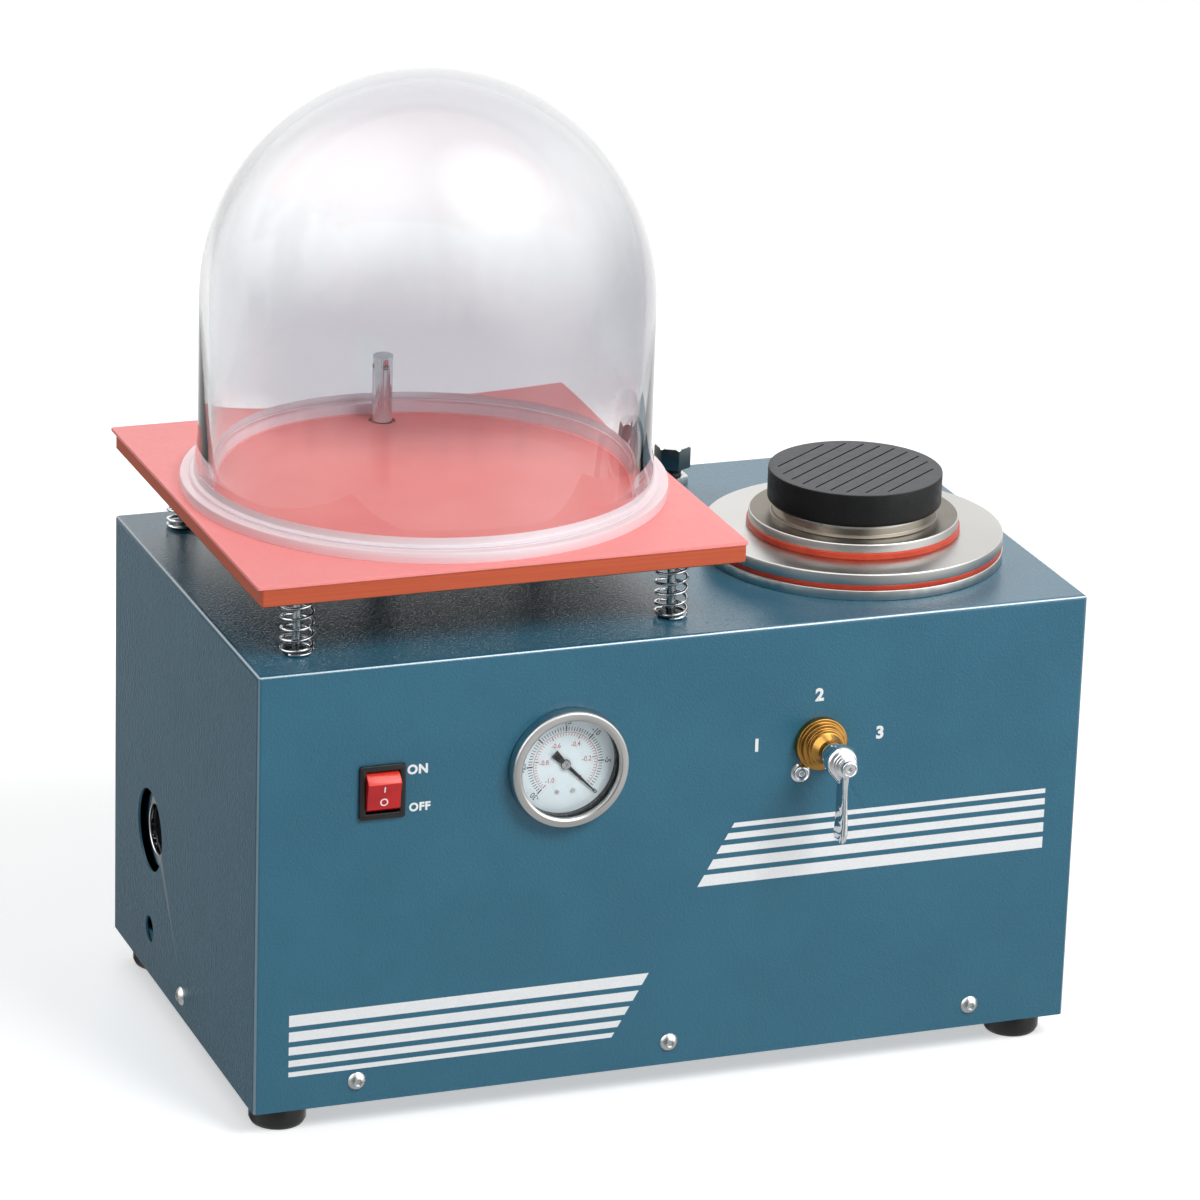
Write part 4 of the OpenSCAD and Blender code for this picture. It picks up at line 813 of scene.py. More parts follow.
def make_table_sheet():
    """Soft silicone, matt where it is dusty and glossy under the jar, where it is painted a deeper red as the shade
    of the jar's glass.
    """
    sheet = Finish("pink_silicone", ior=1.43, glow=0.1, glow_depth=0.002)
    away, _ = sheet.from_axis(TABLE, Z)
    ragged = sheet.math("ADD", away, sheet.math("MULTIPLY", sheet.noise(0.006, 4), SEAL_WAVER))
    inside = sheet.spread(ragged, SEAL_RADIUS, SEAL_RADIUS + SEAL_EDGE, 1.0, 0.0)
    cloud = sheet.spread(sheet.noise(0.06, 3), 0.25, 0.75)
    dusty = sheet.blend(cloud, srgb(252, 150, 149), srgb(254, 155, 153))
    # Painted shade: inside the seal the sheet is painted a deeper red for the shade of the jar's glass.
    painted_jar_shade = sheet.blend(cloud, srgb(234, 112, 108), srgb(240, 126, 121))
    sheet.to("colour", sheet.blend(inside, dusty, painted_jar_shade))
    grain = sheet.spread(sheet.noise(0.003, 4), 0.25, 0.75)
    matt = sheet.spread(grain, 0, 1, 0.4, 0.5)
    gloss = sheet.spread(grain, 0, 1, 0.1, 0.2)
    mixed = sheet.node("ShaderNodeMix", {"Factor": inside, "A": matt, "B": gloss}, data_type="FLOAT")
    sheet.to("rough", mixed.outputs[0])
    sheet.bump(sheet.noise(0.0015, 3), 0.000012)
    return sheet


pink_silicone = make_table_sheet()

# %% Laminate
SKIN_FROM, SKIN_TO = 0.0009, 0.0003


def make_laminate():
    board = Finish("phenolic_laminate", ior=1.52)
    layers = board.noise(0.0012, 4, 0.6, at=board.stretched((0.01, 0.01, 1)))
    streaks = board.noise(0.002, 4, 0.6, at=board.stretched((0.03, 0.03, 1.4), offset=(0.3, 0.1, 0)))
    tone = board.math("ADD", board.math("MULTIPLY", layers, 0.6), board.math("MULTIPLY", streaks, 0.4))
    middle = board.blend(board.spread(tone, 0.3, 0.7), srgb(186, 78, 44), srgb(203, 92, 54))
    up = board.split(board.place)["Z"]
    low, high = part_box("table_plate")
    half, centre = (high[2] - low[2]) / 2, (high[2] + low[2]) / 2
    height = board.math("ABSOLUTE", board.math("SUBTRACT", up, centre))
    skin = board.spread(height, half - SKIN_FROM, half - SKIN_TO)
    faced = board.blend(skin, middle, srgb(224, 122, 78))
    # Painted shade: the underside of the board is painted dark brown.
    painted_underside_shade = board.spread(up, low[2] + SKIN_TO, low[2] + SKIN_FROM, 1.0, 0.0)
    board.to("colour", board.blend(painted_underside_shade, faced, srgb(74, 38, 27)))
    board.to("rough", board.spread(tone, 0.3, 0.7, 0.3, 0.5))
    board.bump(layers, 0.00002)
    return board


laminate = make_laminate()
print("rubber, silicone and laminate")

# %% [markdown]
# ## Castings and clear parts
#
# Castings keep the grain of the sand mould under their paint. Clear acrylic is the Principled
# shader with full transmission. Because path traced light hardly ever finds a lamp through a
# refracting wall, shadow rays pass straight through it instead, so that what stands under the
# jar is lit as it would be.

# %% Castings
def make_casting(name, colour, rough):
    casting = Finish(name, ior=1.5)
    sand = casting.noise(0.0012, 4, 0.6)
    tone = casting.spread(casting.noise(0.02, 4), 0.3, 0.7)
    casting.to("colour", casting.blend(tone, srgb(*[c * 0.85 for c in colour]), srgb(*colour)))
    casting.to("rough", casting.spread(sand, 0.25, 0.75, *rough))
    casting.bump(casting.math("ADD", sand, casting.noise(0.005, 2)), 0.00012)
    return casting


black_casting = make_casting("black_casting", (22, 23, 25), (0.1, 0.24))
grey_casting = make_casting("grey_casting", (116, 120, 124), (0.35, 0.5))

# %% Clear parts
JAR_RIPPLE = 0.00001
PAINTED_VEIL_RISE, PAINTED_VEIL_FALL = (0.385, 0.425), (0.465, 0.55)
PAINTED_VEIL_WAVER = 0.014


def make_clear(name, tint, ior, rough=0.0, lit_through=0.93, clearness=1.0):
    clear = Finish(name, clear=clearness, ior=ior, colour=srgb(*tint))
    wipe = clear.noise(0.03, 4, 0.6)
    clear.to("rough", clear.spread(wipe, 0.5, 0.8, rough, rough + 0.01))
    through = clear.node("ShaderNodeBsdfTransparent", {"Color": (lit_through, lit_through, lit_through, 1)})
    shadow = clear.node("ShaderNodeLightPath").outputs["Is Shadow Ray"]
    mix = clear.node("ShaderNodeMixShader", {0: shadow, 1: clear.shader.outputs[0], 2: through.outputs[0]})
    clear.feed(clear.tree.nodes["Material Output"].inputs["Surface"], mix.outputs[0])
    return clear


def make_jar_acrylic():
    """Clear acrylic with a grey veil painted half way up its front, as a painted reflection of the darker room."""
    acrylic = make_clear("clear_acrylic", (250, 251, 253), 1.49, 0.0, 0.95)
    acrylic.bump(acrylic.noise(0.025, 1), JAR_RIPPLE)
    place = acrylic.split(acrylic.place)
    streaks = acrylic.noise(0.01, 4, 0.6, at=acrylic.stretched((1, 1, 0.08)))
    height = acrylic.math("ADD", place["Z"], acrylic.math("MULTIPLY", streaks, PAINTED_VEIL_WAVER))
    above = acrylic.spread(height, *PAINTED_VEIL_RISE)
    below = acrylic.spread(height, *PAINTED_VEIL_FALL, 1.0, 0.0)
    front = acrylic.spread(place["Y"], 0.06, -0.06)
    # Painted reflection: a grey veil across the front, between two heights.
    painted_reflection_veil = acrylic.math("MULTIPLY", acrylic.math("MULTIPLY", above, below), front)
    crown = acrylic.spread(height, 0.5, 0.62)
    body = acrylic.blend(crown, srgb(247, 248, 249), srgb(241, 242, 246))
    acrylic.to("colour", acrylic.blend(painted_reflection_veil, body, srgb(190, 190, 196)))
    return acrylic


def make_rocker_red():
    """Red translucent nylon: faces that look up are painted a lighter red as a painted highlight, and the face below
    is painted deeper as shade.
    """
    nylon = Finish("rocker_red", ior=1.5, glow=0.12, glow_depth=0.0015)
    cloud = nylon.spread(nylon.noise(0.01, 3), 0.3, 0.7)
    deep = nylon.blend(cloud, srgb(184, 22, 26), srgb(196, 26, 30))
    # Painted highlight and shade: faces that look up are a light red, the rest a deeper red.
    nylon.to("colour", nylon.blend(nylon.facing_up(0.05, 0.45), deep, srgb(240, 62, 48)))
    nylon.to("rough", nylon.spread(nylon.noise(0.002, 3), 0.3, 0.7, 0.1, 0.16))
    nylon.bump(nylon.noise(0.0008, 2), 0.000006)
    return nylon


acrylic = make_jar_acrylic()
frosted_acrylic = make_clear("frosted_acrylic", (240, 240, 245), 1.49, 0.22, 0.75, clearness=0.3)
lens_glass = make_clear("lens_glass", (252, 253, 254), 1.5)
lens_glass.to("alpha", 0.08)
rocker_red = make_rocker_red()
print(len(bpy.data.materials), "finishes in all")

# %% [markdown]
# ## The cabinet
#
# The cover is one sheet, folded over the front, the sides and the top. A fold is never sharp, so
# its long outer edges get a bevel as wide as the sheet's own bend, while the rims of holes and
# the cut edges only lose their burr. To tell them apart, an edge counts as a fold when both of
# its ends lie on two of the cabinet's outer planes.

# %% Cover, tray, screws and feet
FOLD = 1.3
ON_PLANE = 0.02
cover_low, cover_high = box_mm("cover")
FRONT, LEFT, BOTTOM = cover_low[1], cover_low[0], cover_low[2]


def outer_gaps(point):
    """How far a point, in millimetres, lies from each outer face of the cover."""
    return [abs(point[i] - cover_low[i]) for i in (0, 1)] + [abs(point[i] - cover_high[i]) for i in range(3)]


def on_fold(edge):
    ends = [outer_gaps(vert.co / MM) for vert in edge.verts]
    return sum(max(gaps) < ON_PLANE for gaps in zip(*ends)) >= 2


def on_rounded_fold(centre):
    """True between two outer faces of the cover, on the rounding itself."""
    gaps = outer_gaps(centre)
    return sum(gap < FOLD for gap in gaps) >= 2 and all(gap > 0.5 * ON_PLANE for gap in gaps)


cover = softened("cover", cabinet_paint, 0.2, wide=(on_fold, FOLD), segments=4)
paint_part(cover, fold_paint, on_rounded_fold)
for node, finish, width in (
    ("base_tray", cabinet_paint, 0.2),
    ("cover_screws", bright_zinc, 0.22),
    ("feet", black_rubber, 0.7),
    ("foot_screws", bright_zinc, 0.2),
    ("power_inlet", black_plastic, 0.4),
):
    softened(node, finish, width)
dress(bright_zinc, "cover_nuts", "ring_screws", "pump_bolts")

# %% [markdown]
# ### Stripes and figures
#
# The printed stripes follow a rule: the gaps are equal, each stripe is a little thicker or thinner
# than the one above, and the ends are cut along one slant. A Geometry Nodes tree sets a unit
# rectangle on a row of points, stretches each by its own thickness and then moves the corners of
# one end onto the slant. Figures are text turned into a mesh and laid on the panel as a film, as
# thin as screen ink.

# %% Stripes
FILM = 0.06
FILM_WALL = 0.8
STRIPE_COUNT, STRIPE_GAP, STRIPE_SLOPE = 5, 3.2, 0.574


def make_stripe_recipe():
    recipe = Recipe(
        "slanted_stripes", Count=5, Top=0.0, First_Thickness=0.0, Growth=0.0, Gap=0.0,
        Square_End=0.0, Slant_End=0.0, Slope=0.0, Side=1.0, Plane=0.0,
    )  # fmt: skip
    size, math_ = recipe.size, recipe.math
    row, index = recipe.numbered("Count")
    thickness = math_("ADD", size("First_Thickness"), math_("MULTIPLY", index, size("Growth")))
    pairs = math_("MULTIPLY", math_("MULTIPLY", index, math_("SUBTRACT", index, 1.0)), 0.5)
    firsts = math_("MULTIPLY", index, size("First_Thickness"))
    above = math_("ADD", firsts, math_("MULTIPLY", pairs, size("Growth")))
    above = math_("ADD", above, math_("MULTIPLY", index, size("Gap")))
    middle = math_("SUBTRACT", math_("SUBTRACT", size("Top"), above), math_("MULTIPLY", thickness, 0.5))
    placed = recipe.add("SetPosition", Geometry=row, Position=recipe.vector(0.0, size("Plane"), middle))
    strips = recipe.add(
        "InstanceOnPoints", Points=placed, Instance=recipe.upright(1.0, 1.0), Scale=recipe.vector(1.0, 1.0, thickness)
    )
    real = recipe.add("RealizeInstances", Geometry=strips)
    corner = recipe.split(recipe.add("InputPosition"))
    drop = math_("SUBTRACT", size("Top"), corner["Z"])
    slant = math_("SUBTRACT", size("Slant_End"), math_("MULTIPLY", drop, size("Slope")))
    square = math_("GREATER_THAN", math_("MULTIPLY", corner["X"], size("Side")), 0.0)
    x = math_("ADD", slant, math_("MULTIPLY", square, math_("SUBTRACT", size("Square_End"), slant)))
    cut = recipe.add("SetPosition", Geometry=real, Position=recipe.vector(x, corner["Y"], corner["Z"]))
    recipe.close(cut)
    return recipe


stripe_recipe = make_stripe_recipe()


def stripes(name, top, first, last, square_end, slant_end, side):
    sizes = {
        "Top": BOTTOM + top, "First_Thickness": first, "Growth": (last - first) / (STRIPE_COUNT - 1),
        "Gap": STRIPE_GAP, "Square_End": LEFT + square_end, "Slant_End": LEFT + slant_end, "Plane": FRONT - FILM,
    }  # fmt: skip
    metres = {label: value * MM for label, value in sizes.items()}
    mesh = grown(
        name, stripe_recipe, white_print, wall=FILM_WALL * FILM * MM,
        Count=STRIPE_COUNT, Slope=STRIPE_SLOPE, Side=side, **metres,
    )  # fmt: skip
    settle(name, mesh, white_print)


stripes("stripes_right", 145.75, 2.85, 6.9, 480.0, 285.2, 1.0)
stripes("stripes_left", 58.7, 7.0, 2.95, 20.3, 236.0, -1.0)
print("two sets of", STRIPE_COUNT, "stripes")

# %% Figures
BOLD = 0.045
LETTER_DEPTH = 0.005
STAND = Matrix.Rotation(math.radians(90), 4, "X")
PANEL_TEXT = (
    # text, height of a capital, place from the cover's left and bottom
    ("ON", 5.9, 93.3, 199.5),
    ("OFF", 5.3, 95.0, 176.9),
    ("1", 8.0, 297, 192),
    ("2", 8.0, 334.5, 219),
    ("3", 8.0, 373, 192),
)


def lettering(text, cap_height, centre, turn=0.0, bold=0.0, width=1.0):
    """A text mesh in metres, centred on a point in millimetres and facing the front."""
    curve = bpy.data.curves.new("lettering", "FONT")
    curve.body = text
    curve.offset = bold
    curve.extrude = LETTER_DEPTH
    curve.space_character = 1.0 + 2.2 * bold
    curve.resolution_u = 4
    obj = shown("lettering", curve)
    bpy.context.view_layer.update()
    mesh = bpy.data.meshes.new_from_object(obj.evaluated_get(bpy.context.evaluated_depsgraph_get()))
    bpy.data.objects.remove(obj)
    points = [v.co for v in mesh.vertices]
    low = Vector((min(p.x for p in points), min(p.y for p in points), 0))
    high = Vector((max(p.x for p in points), max(p.y for p in points), 0))
    scale = cap_height * MM / (high.y - low.y)
    to_middle = Matrix.Translation(-(low + high) / 2)
    size = Matrix.Diagonal((scale * width, scale, 0.5 * FILM * MM / LETTER_DEPTH, 1))
    place = Matrix.Translation([c * MM for c in centre])
    mesh.transform(place @ STAND @ Matrix.Rotation(turn, 4, "Z") @ size @ to_middle)
    return mesh


def joined(name, meshes):
    bm = bmesh.new()
    for mesh in meshes:
        bm.from_mesh(mesh)
    return mesh_of(name, bm)


panel_words = [
    lettering(text, height, (LEFT + x, FRONT - 0.5 * FILM, BOTTOM + z), bold=BOLD)
    for text, height, x, z in PANEL_TEXT
]
settle("panel_figures", joined("panel_figures", panel_words), white_print)
print("ON, OFF and three valve numbers")

# %% [markdown]
# ## The sprung table
#
# A thick laminate board with a soft silicone sheet on it stands on four springs, and is shaken by
# hand to drive bubbles out of the investment. Four studs hang from it through rubber bushings in
# the cover and keep it level.

# %% Board, sheet, studs and port
for node, finish, width in (
    ("table_plate", laminate, 0.35),
    ("table_pad", pink_silicone, 0.3),
    ("table_studs", bright_zinc, 0.2),
    ("stud_nuts", bright_zinc, 0.25),
    ("stud_bushings", black_rubber, 0.3),
    ("port_tube", polished_chrome, 0.25),
    ("table_bulkhead", cast_brass, 0.2),
):
    softened(node, finish, width)
print("table of", [round(b - a) for a, b in zip(*box_mm("table_pad"))], "mm")

# %% [markdown]
# ### Springs
#
# The wire of a compression spring runs up a helix whose first and last turn lie closed, so that
# the spring stands flat. The tree resamples nothing: it makes a line of points, turns each point's
# index into a number of turns, and sets radius, angle and height from that. Curve to Mesh then
# draws the wire round it with capped ends. When the table goes down, the spring gets shorter.

# %% Wound springs
SPRING_TURNS, SPRING_WIRE, SPRING_OUTSIDE = 7.5, 0.0017, 0.0195
CLOSED_PITCH = 1.15
SPRING_STARTS = {"front_left": 3.9, "front_right": 4.3, "back_left": 1.2, "back_right": 2.0}


def make_spring_recipe():
    recipe = Recipe(
        "wound_spring", Turns=7.5, Wire=0.0017, Outside=0.0195, Height=0.04, Points=320, Sides=12,
        Foot=(0.0, 0.0, 0.0), Start=0.0,
    )  # fmt: skip
    size, math_ = recipe.size, recipe.math
    line, index = recipe.numbered("Points")
    turns = math_("MULTIPLY", math_("DIVIDE", index, math_("SUBTRACT", size("Points"), 1.0)), size("Turns"))
    radius = math_("MULTIPLY", math_("SUBTRACT", size("Outside"), size("Wire")), 0.5)
    angle = math_("ADD", math_("MULTIPLY", turns, 2 * math.pi), size("Start"))
    pitch = math_("MULTIPLY", size("Wire"), CLOSED_PITCH)
    closed = math_("MULTIPLY", math_("MINIMUM", turns, 1.0), pitch)
    free_turns = math_("SUBTRACT", size("Turns"), 2.0)
    free_rise = math_("SUBTRACT", size("Height"), math_("MULTIPLY", size("Wire"), 1 + 2 * CLOSED_PITCH))
    wound = math_("MINIMUM", math_("MAXIMUM", math_("SUBTRACT", turns, 1.0), 0.0), free_turns)
    rise = math_("MULTIPLY", math_("DIVIDE", wound, free_turns), free_rise)
    last = math_("MAXIMUM", math_("SUBTRACT", turns, math_("SUBTRACT", size("Turns"), 1.0)), 0.0)
    lid = math_("MULTIPLY", last, pitch)
    foot = math_("ADD", math_("MULTIPLY", size("Wire"), 0.5), closed)
    helix = recipe.vector(
        math_("MULTIPLY", radius, math_("COSINE", angle)),
        math_("MULTIPLY", radius, math_("SINE", angle)),
        math_("ADD", foot, math_("ADD", rise, lid)),
    )
    wire = recipe.add("SetPosition", Geometry=line, Position=recipe.vector_math("ADD", helix, size("Foot")))
    recipe.close(recipe.swept(recipe.add("MeshToCurve", Mesh=wire), size("Wire"), Fill_Caps=True))
    return recipe


spring_recipe = make_spring_recipe()
for corner, start in SPRING_STARTS.items():
    node = "spring_" + corner
    low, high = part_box(node)
    foot = ((low[0] + high[0]) / 2, (low[1] + high[1]) / 2, low[2])
    mesh = grown(
        node, spring_recipe, spring_wire, Turns=SPRING_TURNS, Wire=SPRING_WIRE, Outside=SPRING_OUTSIDE,
        Height=high[2] - low[2], Points=330, Sides=12, Foot=foot, Start=start,
    )  # fmt: skip
    spring = settle(node + "_wire", mesh, spring_wire, "root", (node,))
    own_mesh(spring)
print("four springs of", SPRING_TURNS, "turns,", round((high[2] - low[2]) / MM, 1), "mm high")

# %% [markdown]
# ## The bell jar
#
# The jar is blown and machined acrylic: a thick straight wall, a round dome and a flange turned
# flat underneath, which seals on the silicone by suction. Wall thickness matters for the look,
# because it is what bends the light at the sides, so the jar is one closed section swept round,
# inside and outside. The flange is left frosted by the tool that cut it, and a bead of cement
# shows as a small step where it meets the wall.

# %% Jar
jar_low, jar_high = box_mm("bell_jar")
JAR_X, JAR_Y, JAR_Z = (jar_low[0] + jar_high[0]) / 2, (jar_low[1] + jar_high[1]) / 2, jar_low[2]
JAR_R, JAR_WALL, JAR_SIDE, FLANGE_R, FLANGE_T = 130.0, 6.0, 112.0, 140.5, 6.5
CEMENT_H, BEAD_W, FOOT_H = 7.0, 1.2, 30
DOME_STEPS, JAR_SPOKES = 40, 192


def dome(radius, start, stop):
    """Points on a dome's arc, from one angle above the horizontal to another."""
    arc = []
    for k in range(DOME_STEPS + 1):
        angle = math.radians(start + (stop - start) * k / DOME_STEPS)
        arc.append((max(radius * math.cos(angle), 0.0), JAR_SIDE + radius * math.sin(angle)))
    arc[-1 if stop == 90 else 0] = (0.0, JAR_SIDE + radius)
    return arc


JAR_INNER = JAR_R - JAR_WALL
foot_line = rounded(
    [
        (JAR_INNER, FOOT_H, 0), (JAR_INNER, CEMENT_H, 0), (JAR_INNER, 0, 1.0),
        (FLANGE_R, 0, 0.8), (FLANGE_R, FLANGE_T, 1.3),
        (JAR_R + 4.5, FLANGE_T, 0.4), (JAR_R + 4.1, FLANGE_T + 0.7, 0.4), (JAR_R + 1.8, FLANGE_T + 1.2, 1.4),
        (JAR_R, FLANGE_T + 5.5, 3.0), (JAR_R, FOOT_H, 0),
    ]  # fmt: skip
)
jar_line = dome(JAR_INNER, 90, 0) + foot_line + dome(JAR_R, 0, 90)
jar_mesh = turned("bell_jar_shell", jar_line, Vector((JAR_X, JAR_Y, JAR_Z)) * MM, steps=JAR_SPOKES)
jar = settle("bell_jar_shell", jar_mesh, acrylic, "jar", ("bell_jar",))


def on_flange(centre):
    """True on the flange and on the band where the wall is cemented into it."""
    away = math.hypot(centre.x - JAR_X, centre.y - JAR_Y)
    return away > JAR_R + BEAD_W or centre.z - JAR_Z < CEMENT_H


paint_part(jar, frosted_acrylic, on_flange)
print("jar of", len(jar.data.polygons), "faces, wall", JAR_WALL, "mm")


# %% [markdown]
# ## The casting station
#
# From the cover up: a stainless ring, a red gasket, a large plate, a smaller gasket and plate with
# a raised hub, and the grooved rubber pad that spreads the flask's weight. Gaskets and plates are
# turned anew in the imported solids' sizes, because a fine rounded rim shows on them from every
# side. The hub is polished by use, and the ring of plate round it, under the pad's edge, is painted
# darker as the pad's shadow, so these faces get finishes of their own.

# %% Rings, gaskets and plates
STATION_AT = Vector(STATION)
PLATE_SPOKES = 160
softened("base_ring", turned_stainless, 0.5)
softened("casting_pot", turned_stainless, 0.3)


def turned_plate(node, line, finish):
    mesh = turned(node, rounded(line, closed=True), STATION_AT, steps=PLATE_SPOKES, closed=True)
    return stand_in(node, mesh, finish, "_turned")


def turned_washer(node, finish, bore, outside, edge):
    """A flat ring with rounded edges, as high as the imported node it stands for."""
    low, high = box_mm(node)
    line = [(bore, low[2], edge), (outside, low[2], edge), (outside, high[2], edge), (bore, high[2], edge)]
    turned_plate(node, line, finish)


turned_washer("large_gasket", red_silicone, 58, 87.49, 0.7)
turned_washer("large_plate", turned_stainless, 52, 87.74, 0.7)
turned_washer("small_gasket", red_silicone, 58, 62.34, 0.8)

plate_foot, hub_top = box_mm("small_plate")[0][2], box_mm("small_plate")[1][2]
SMALL_PLATE_T, SMALL_PLATE_R, HUB_R, HUB_BORE = 5.0, 61.15, 48.0, 40
hub_foot = plate_foot + SMALL_PLATE_T
hub_line = [
    (HUB_BORE, plate_foot, 0.5), (SMALL_PLATE_R, plate_foot, 0.5), (SMALL_PLATE_R, hub_foot, 0.6),
    (HUB_R + 0.9, hub_foot, 0.3), (HUB_R, hub_foot + 1.1, 0.6), (HUB_R, hub_top, 0.6), (HUB_BORE, hub_top, 0.5),
]  # fmt: skip
small_plate = turned_plate("small_plate", hub_line, turned_stainless)


def from_station(point):
    return math.hypot(point.x - STATION_AT.x / MM, point.y - STATION_AT.y / MM)


# The ring of plate top round the hub, under the pad's edge, where the pad's shadow is painted.
def on_pad_shadow_ring(centre):
    return abs(centre.z - hub_foot) < 1.0 and HUB_R - 1 < from_station(centre) < SMALL_PLATE_R - 0.45


PAD_RIM_R = 50.6


def on_pad_rim(edge):
    return all(from_station(vert.co / MM) > PAD_RIM_R for vert in edge.verts)


paint_part(small_plate, polished_stainless, lambda c: c.z > hub_foot + 0.9)
paint_part(small_plate, dull_stainless, on_pad_shadow_ring)
softened("flask_pad", scuffed_rubber, 0.16, wide=(on_pad_rim, 0.7))
print("stack from", round(box_mm("base_ring")[0][2], 1), "to", round(box_mm("flask_pad")[1][2], 1), "mm")

# %% [markdown]
# ### Exhaust plug
#
# The plug's chrome hexagon stands on a blackened stem. One finish can serve both, because the
# head is simply what lies above a certain height. Its flanks are painted darker than its top, as
# painted shade.

# %% Plug and fitting
PLUG_HEAD_H = 13.8


def make_plug_finish():
    low = box_mm("exhaust_plug")[1][2] - PLUG_HEAD_H
    finish = make_chrome("plug_chrome_and_black", rough=(0.1, 0.24))
    head = finish.spread(finish.split(finish.place)["Z"], (low - 0.1) * MM, (low + 0.1) * MM)
    # Painted shade: the head's flanks get a darker grey than its top.
    chrome_with_painted_shade = finish.blend(finish.facing_up(0.2, 0.8), srgb(120, 124, 122), srgb(222, 224, 226))
    finish.to("colour", finish.blend(head, srgb(52, 54, 58), chrome_with_painted_shade))
    return finish


softened("exhaust_plug", make_plug_finish(), 0.3, least_angle=20)
softened("exhaust_fitting", bright_zinc, 0.25)

# %% [markdown]
# ## The gauge
#
# The bezel is a spun stainless ring, so it is a profile turned about the gauge's axis, with a
# fine bright lip where it meets the glass. The scale is a ring of marks: one Geometry Nodes tree
# draws any ring from a count, a first angle and a step, and it is run five times. The red arc is
# a ring of marks too, wide enough to touch.

# %% Bezel, glass and case
GAUGE_X, GAUGE_Z = -68.0, 208.0
FACE_Y = box_mm("gauge_dial")[0][1]
GAUGE_AT = Vector((GAUGE_X, FRONT, GAUGE_Z)) * MM
BEZEL_SPOKES = 128
BEZEL_LINE = [
    # radius, height over the panel, rounding
    (34.5, 1.5, 0.3), (34.5, 6.9, 0.8), (33.7, 8.0, 0.6), (30.6, 8.0, 0.35),
    (30.0, 7.4, 0.2), (30.0, 6.0, 0.15), (31.1, 6.0, 0.0), (31.1, 1.5, 0.0),
]  # fmt: skip

bezel = turned("bezel", rounded(BEZEL_LINE, closed=True), GAUGE_AT, -Y, BEZEL_SPOKES, closed=True)
stand_in("gauge_bezel", bezel, bezel_stainless, "_ring")
softened("gauge_glass", lens_glass, 0.25)
softened("gauge_case", gauge_black, 0.3)
softened("gauge_pointer", gauge_black, 0.1)
dress(dial_enamel, "gauge_dial")


# %% Scale
def make_mark_recipe():
    recipe = Recipe(
        "ring_of_marks", Count=3, First=0.0, Step=0.0, Inner=0.01, Outer=0.02, Width=0.001,
        Centre=(0.0, 0.0, 0.0),
    )  # fmt: skip
    size, math_ = recipe.size, recipe.math
    row, index = recipe.numbered("Count")
    angle = math_("ADD", size("First"), math_("MULTIPLY", index, size("Step")))
    middle = math_("MULTIPLY", math_("ADD", size("Inner"), size("Outer")), 0.5)
    across = math_("MULTIPLY", middle, math_("COSINE", angle))
    up = math_("MULTIPLY", middle, math_("SINE", angle))
    spot = recipe.vector_math("ADD", recipe.vector(across, 0.0, up), size("Centre"))
    placed = recipe.add("SetPosition", Geometry=row, Position=spot)
    bar = recipe.upright(math_("SUBTRACT", size("Outer"), size("Inner")), size("Width"))
    spin = recipe.vector(0.0, math_("MULTIPLY", angle, -1.0), 0.0)
    recipe.close(recipe.add("InstanceOnPoints", Points=placed, Instance=bar, Rotation=spin))
    return recipe


mark_recipe = make_mark_recipe()
INK = 0.04
SCALE_FROM, SCALE_TURN = -45, 270
BLACK_TEXT = ("0", "-5", "-10", "-15", "-20", "-25", "-30")
RED_TEXT = ("0", "-0.2", "-0.4", "-0.6", "-0.8", "-1.0")


def marks(finish, count, inner_r, outer_r, width, first=SCALE_FROM, gaps=None):
    """Marks from the scale's start to its end."""
    step = SCALE_TURN / (gaps or count - 1)
    return grown(
        "marks", mark_recipe, finish, wall=FILM_WALL * INK * MM, Count=count, First=math.radians(first),
        Step=math.radians(step), Inner=inner_r * MM, Outer=outer_r * MM, Width=width * MM,
        Centre=(GAUGE_X * MM, (FACE_Y - INK) * MM, GAUGE_Z * MM),
    )  # fmt: skip


def on_dial(texts, height, radius, upright, bold):
    """Numbers spread over the scale, upright or turned with it."""
    words = []
    for k, text in enumerate(texts):
        angle = math.radians(SCALE_FROM + SCALE_TURN * k / (len(texts) - 1))
        x, z = GAUGE_X + radius * math.cos(angle), GAUGE_Z + radius * math.sin(angle)
        turn = 0.0 if upright else angle - math.pi / 2
        words.append(lettering(text, height, (x, FACE_Y - 0.5 * INK, z), turn, bold, width=0.85))
    return words


black_scale = [marks(dial_black, 61, 20.0, 22.4, 0.42), marks(dial_black, 7, 19.6, 23.2, 0.85)]
black_scale += on_dial(BLACK_TEXT, 3.5, 25.5, False, 0.012)
red_scale = [marks(dial_red, 51, 17.1, 18.6, 0.34), marks(dial_red, 6, 16.2, 18.6, 0.6)]
red_scale += on_dial(RED_TEXT, 3.0, 12.9, True, 0.008)
red_scale.append(marks(dial_red, 90, 18.9, 19.2, 1.02, first=SCALE_FROM + 1.5, gaps=90))
settle("gauge_black_scale", joined("gauge_black_scale", black_scale), dial_black)
settle("gauge_red_scale", joined("gauge_red_scale", red_scale), dial_red)


# %% Slotted screw heads
HALF_DISC_STEPS = 18
CHAMFER = 0.93
HEAD_H = 0.75


def half_disc(radius, slot, side):
    start = math.asin(slot / 2 / radius)
    arc = [start + (math.pi - 2 * start) * k / HALF_DISC_STEPS for k in range(HALF_DISC_STEPS + 1)]
    return [(radius * math.cos(a), side * radius * math.sin(a)) for a in arc]


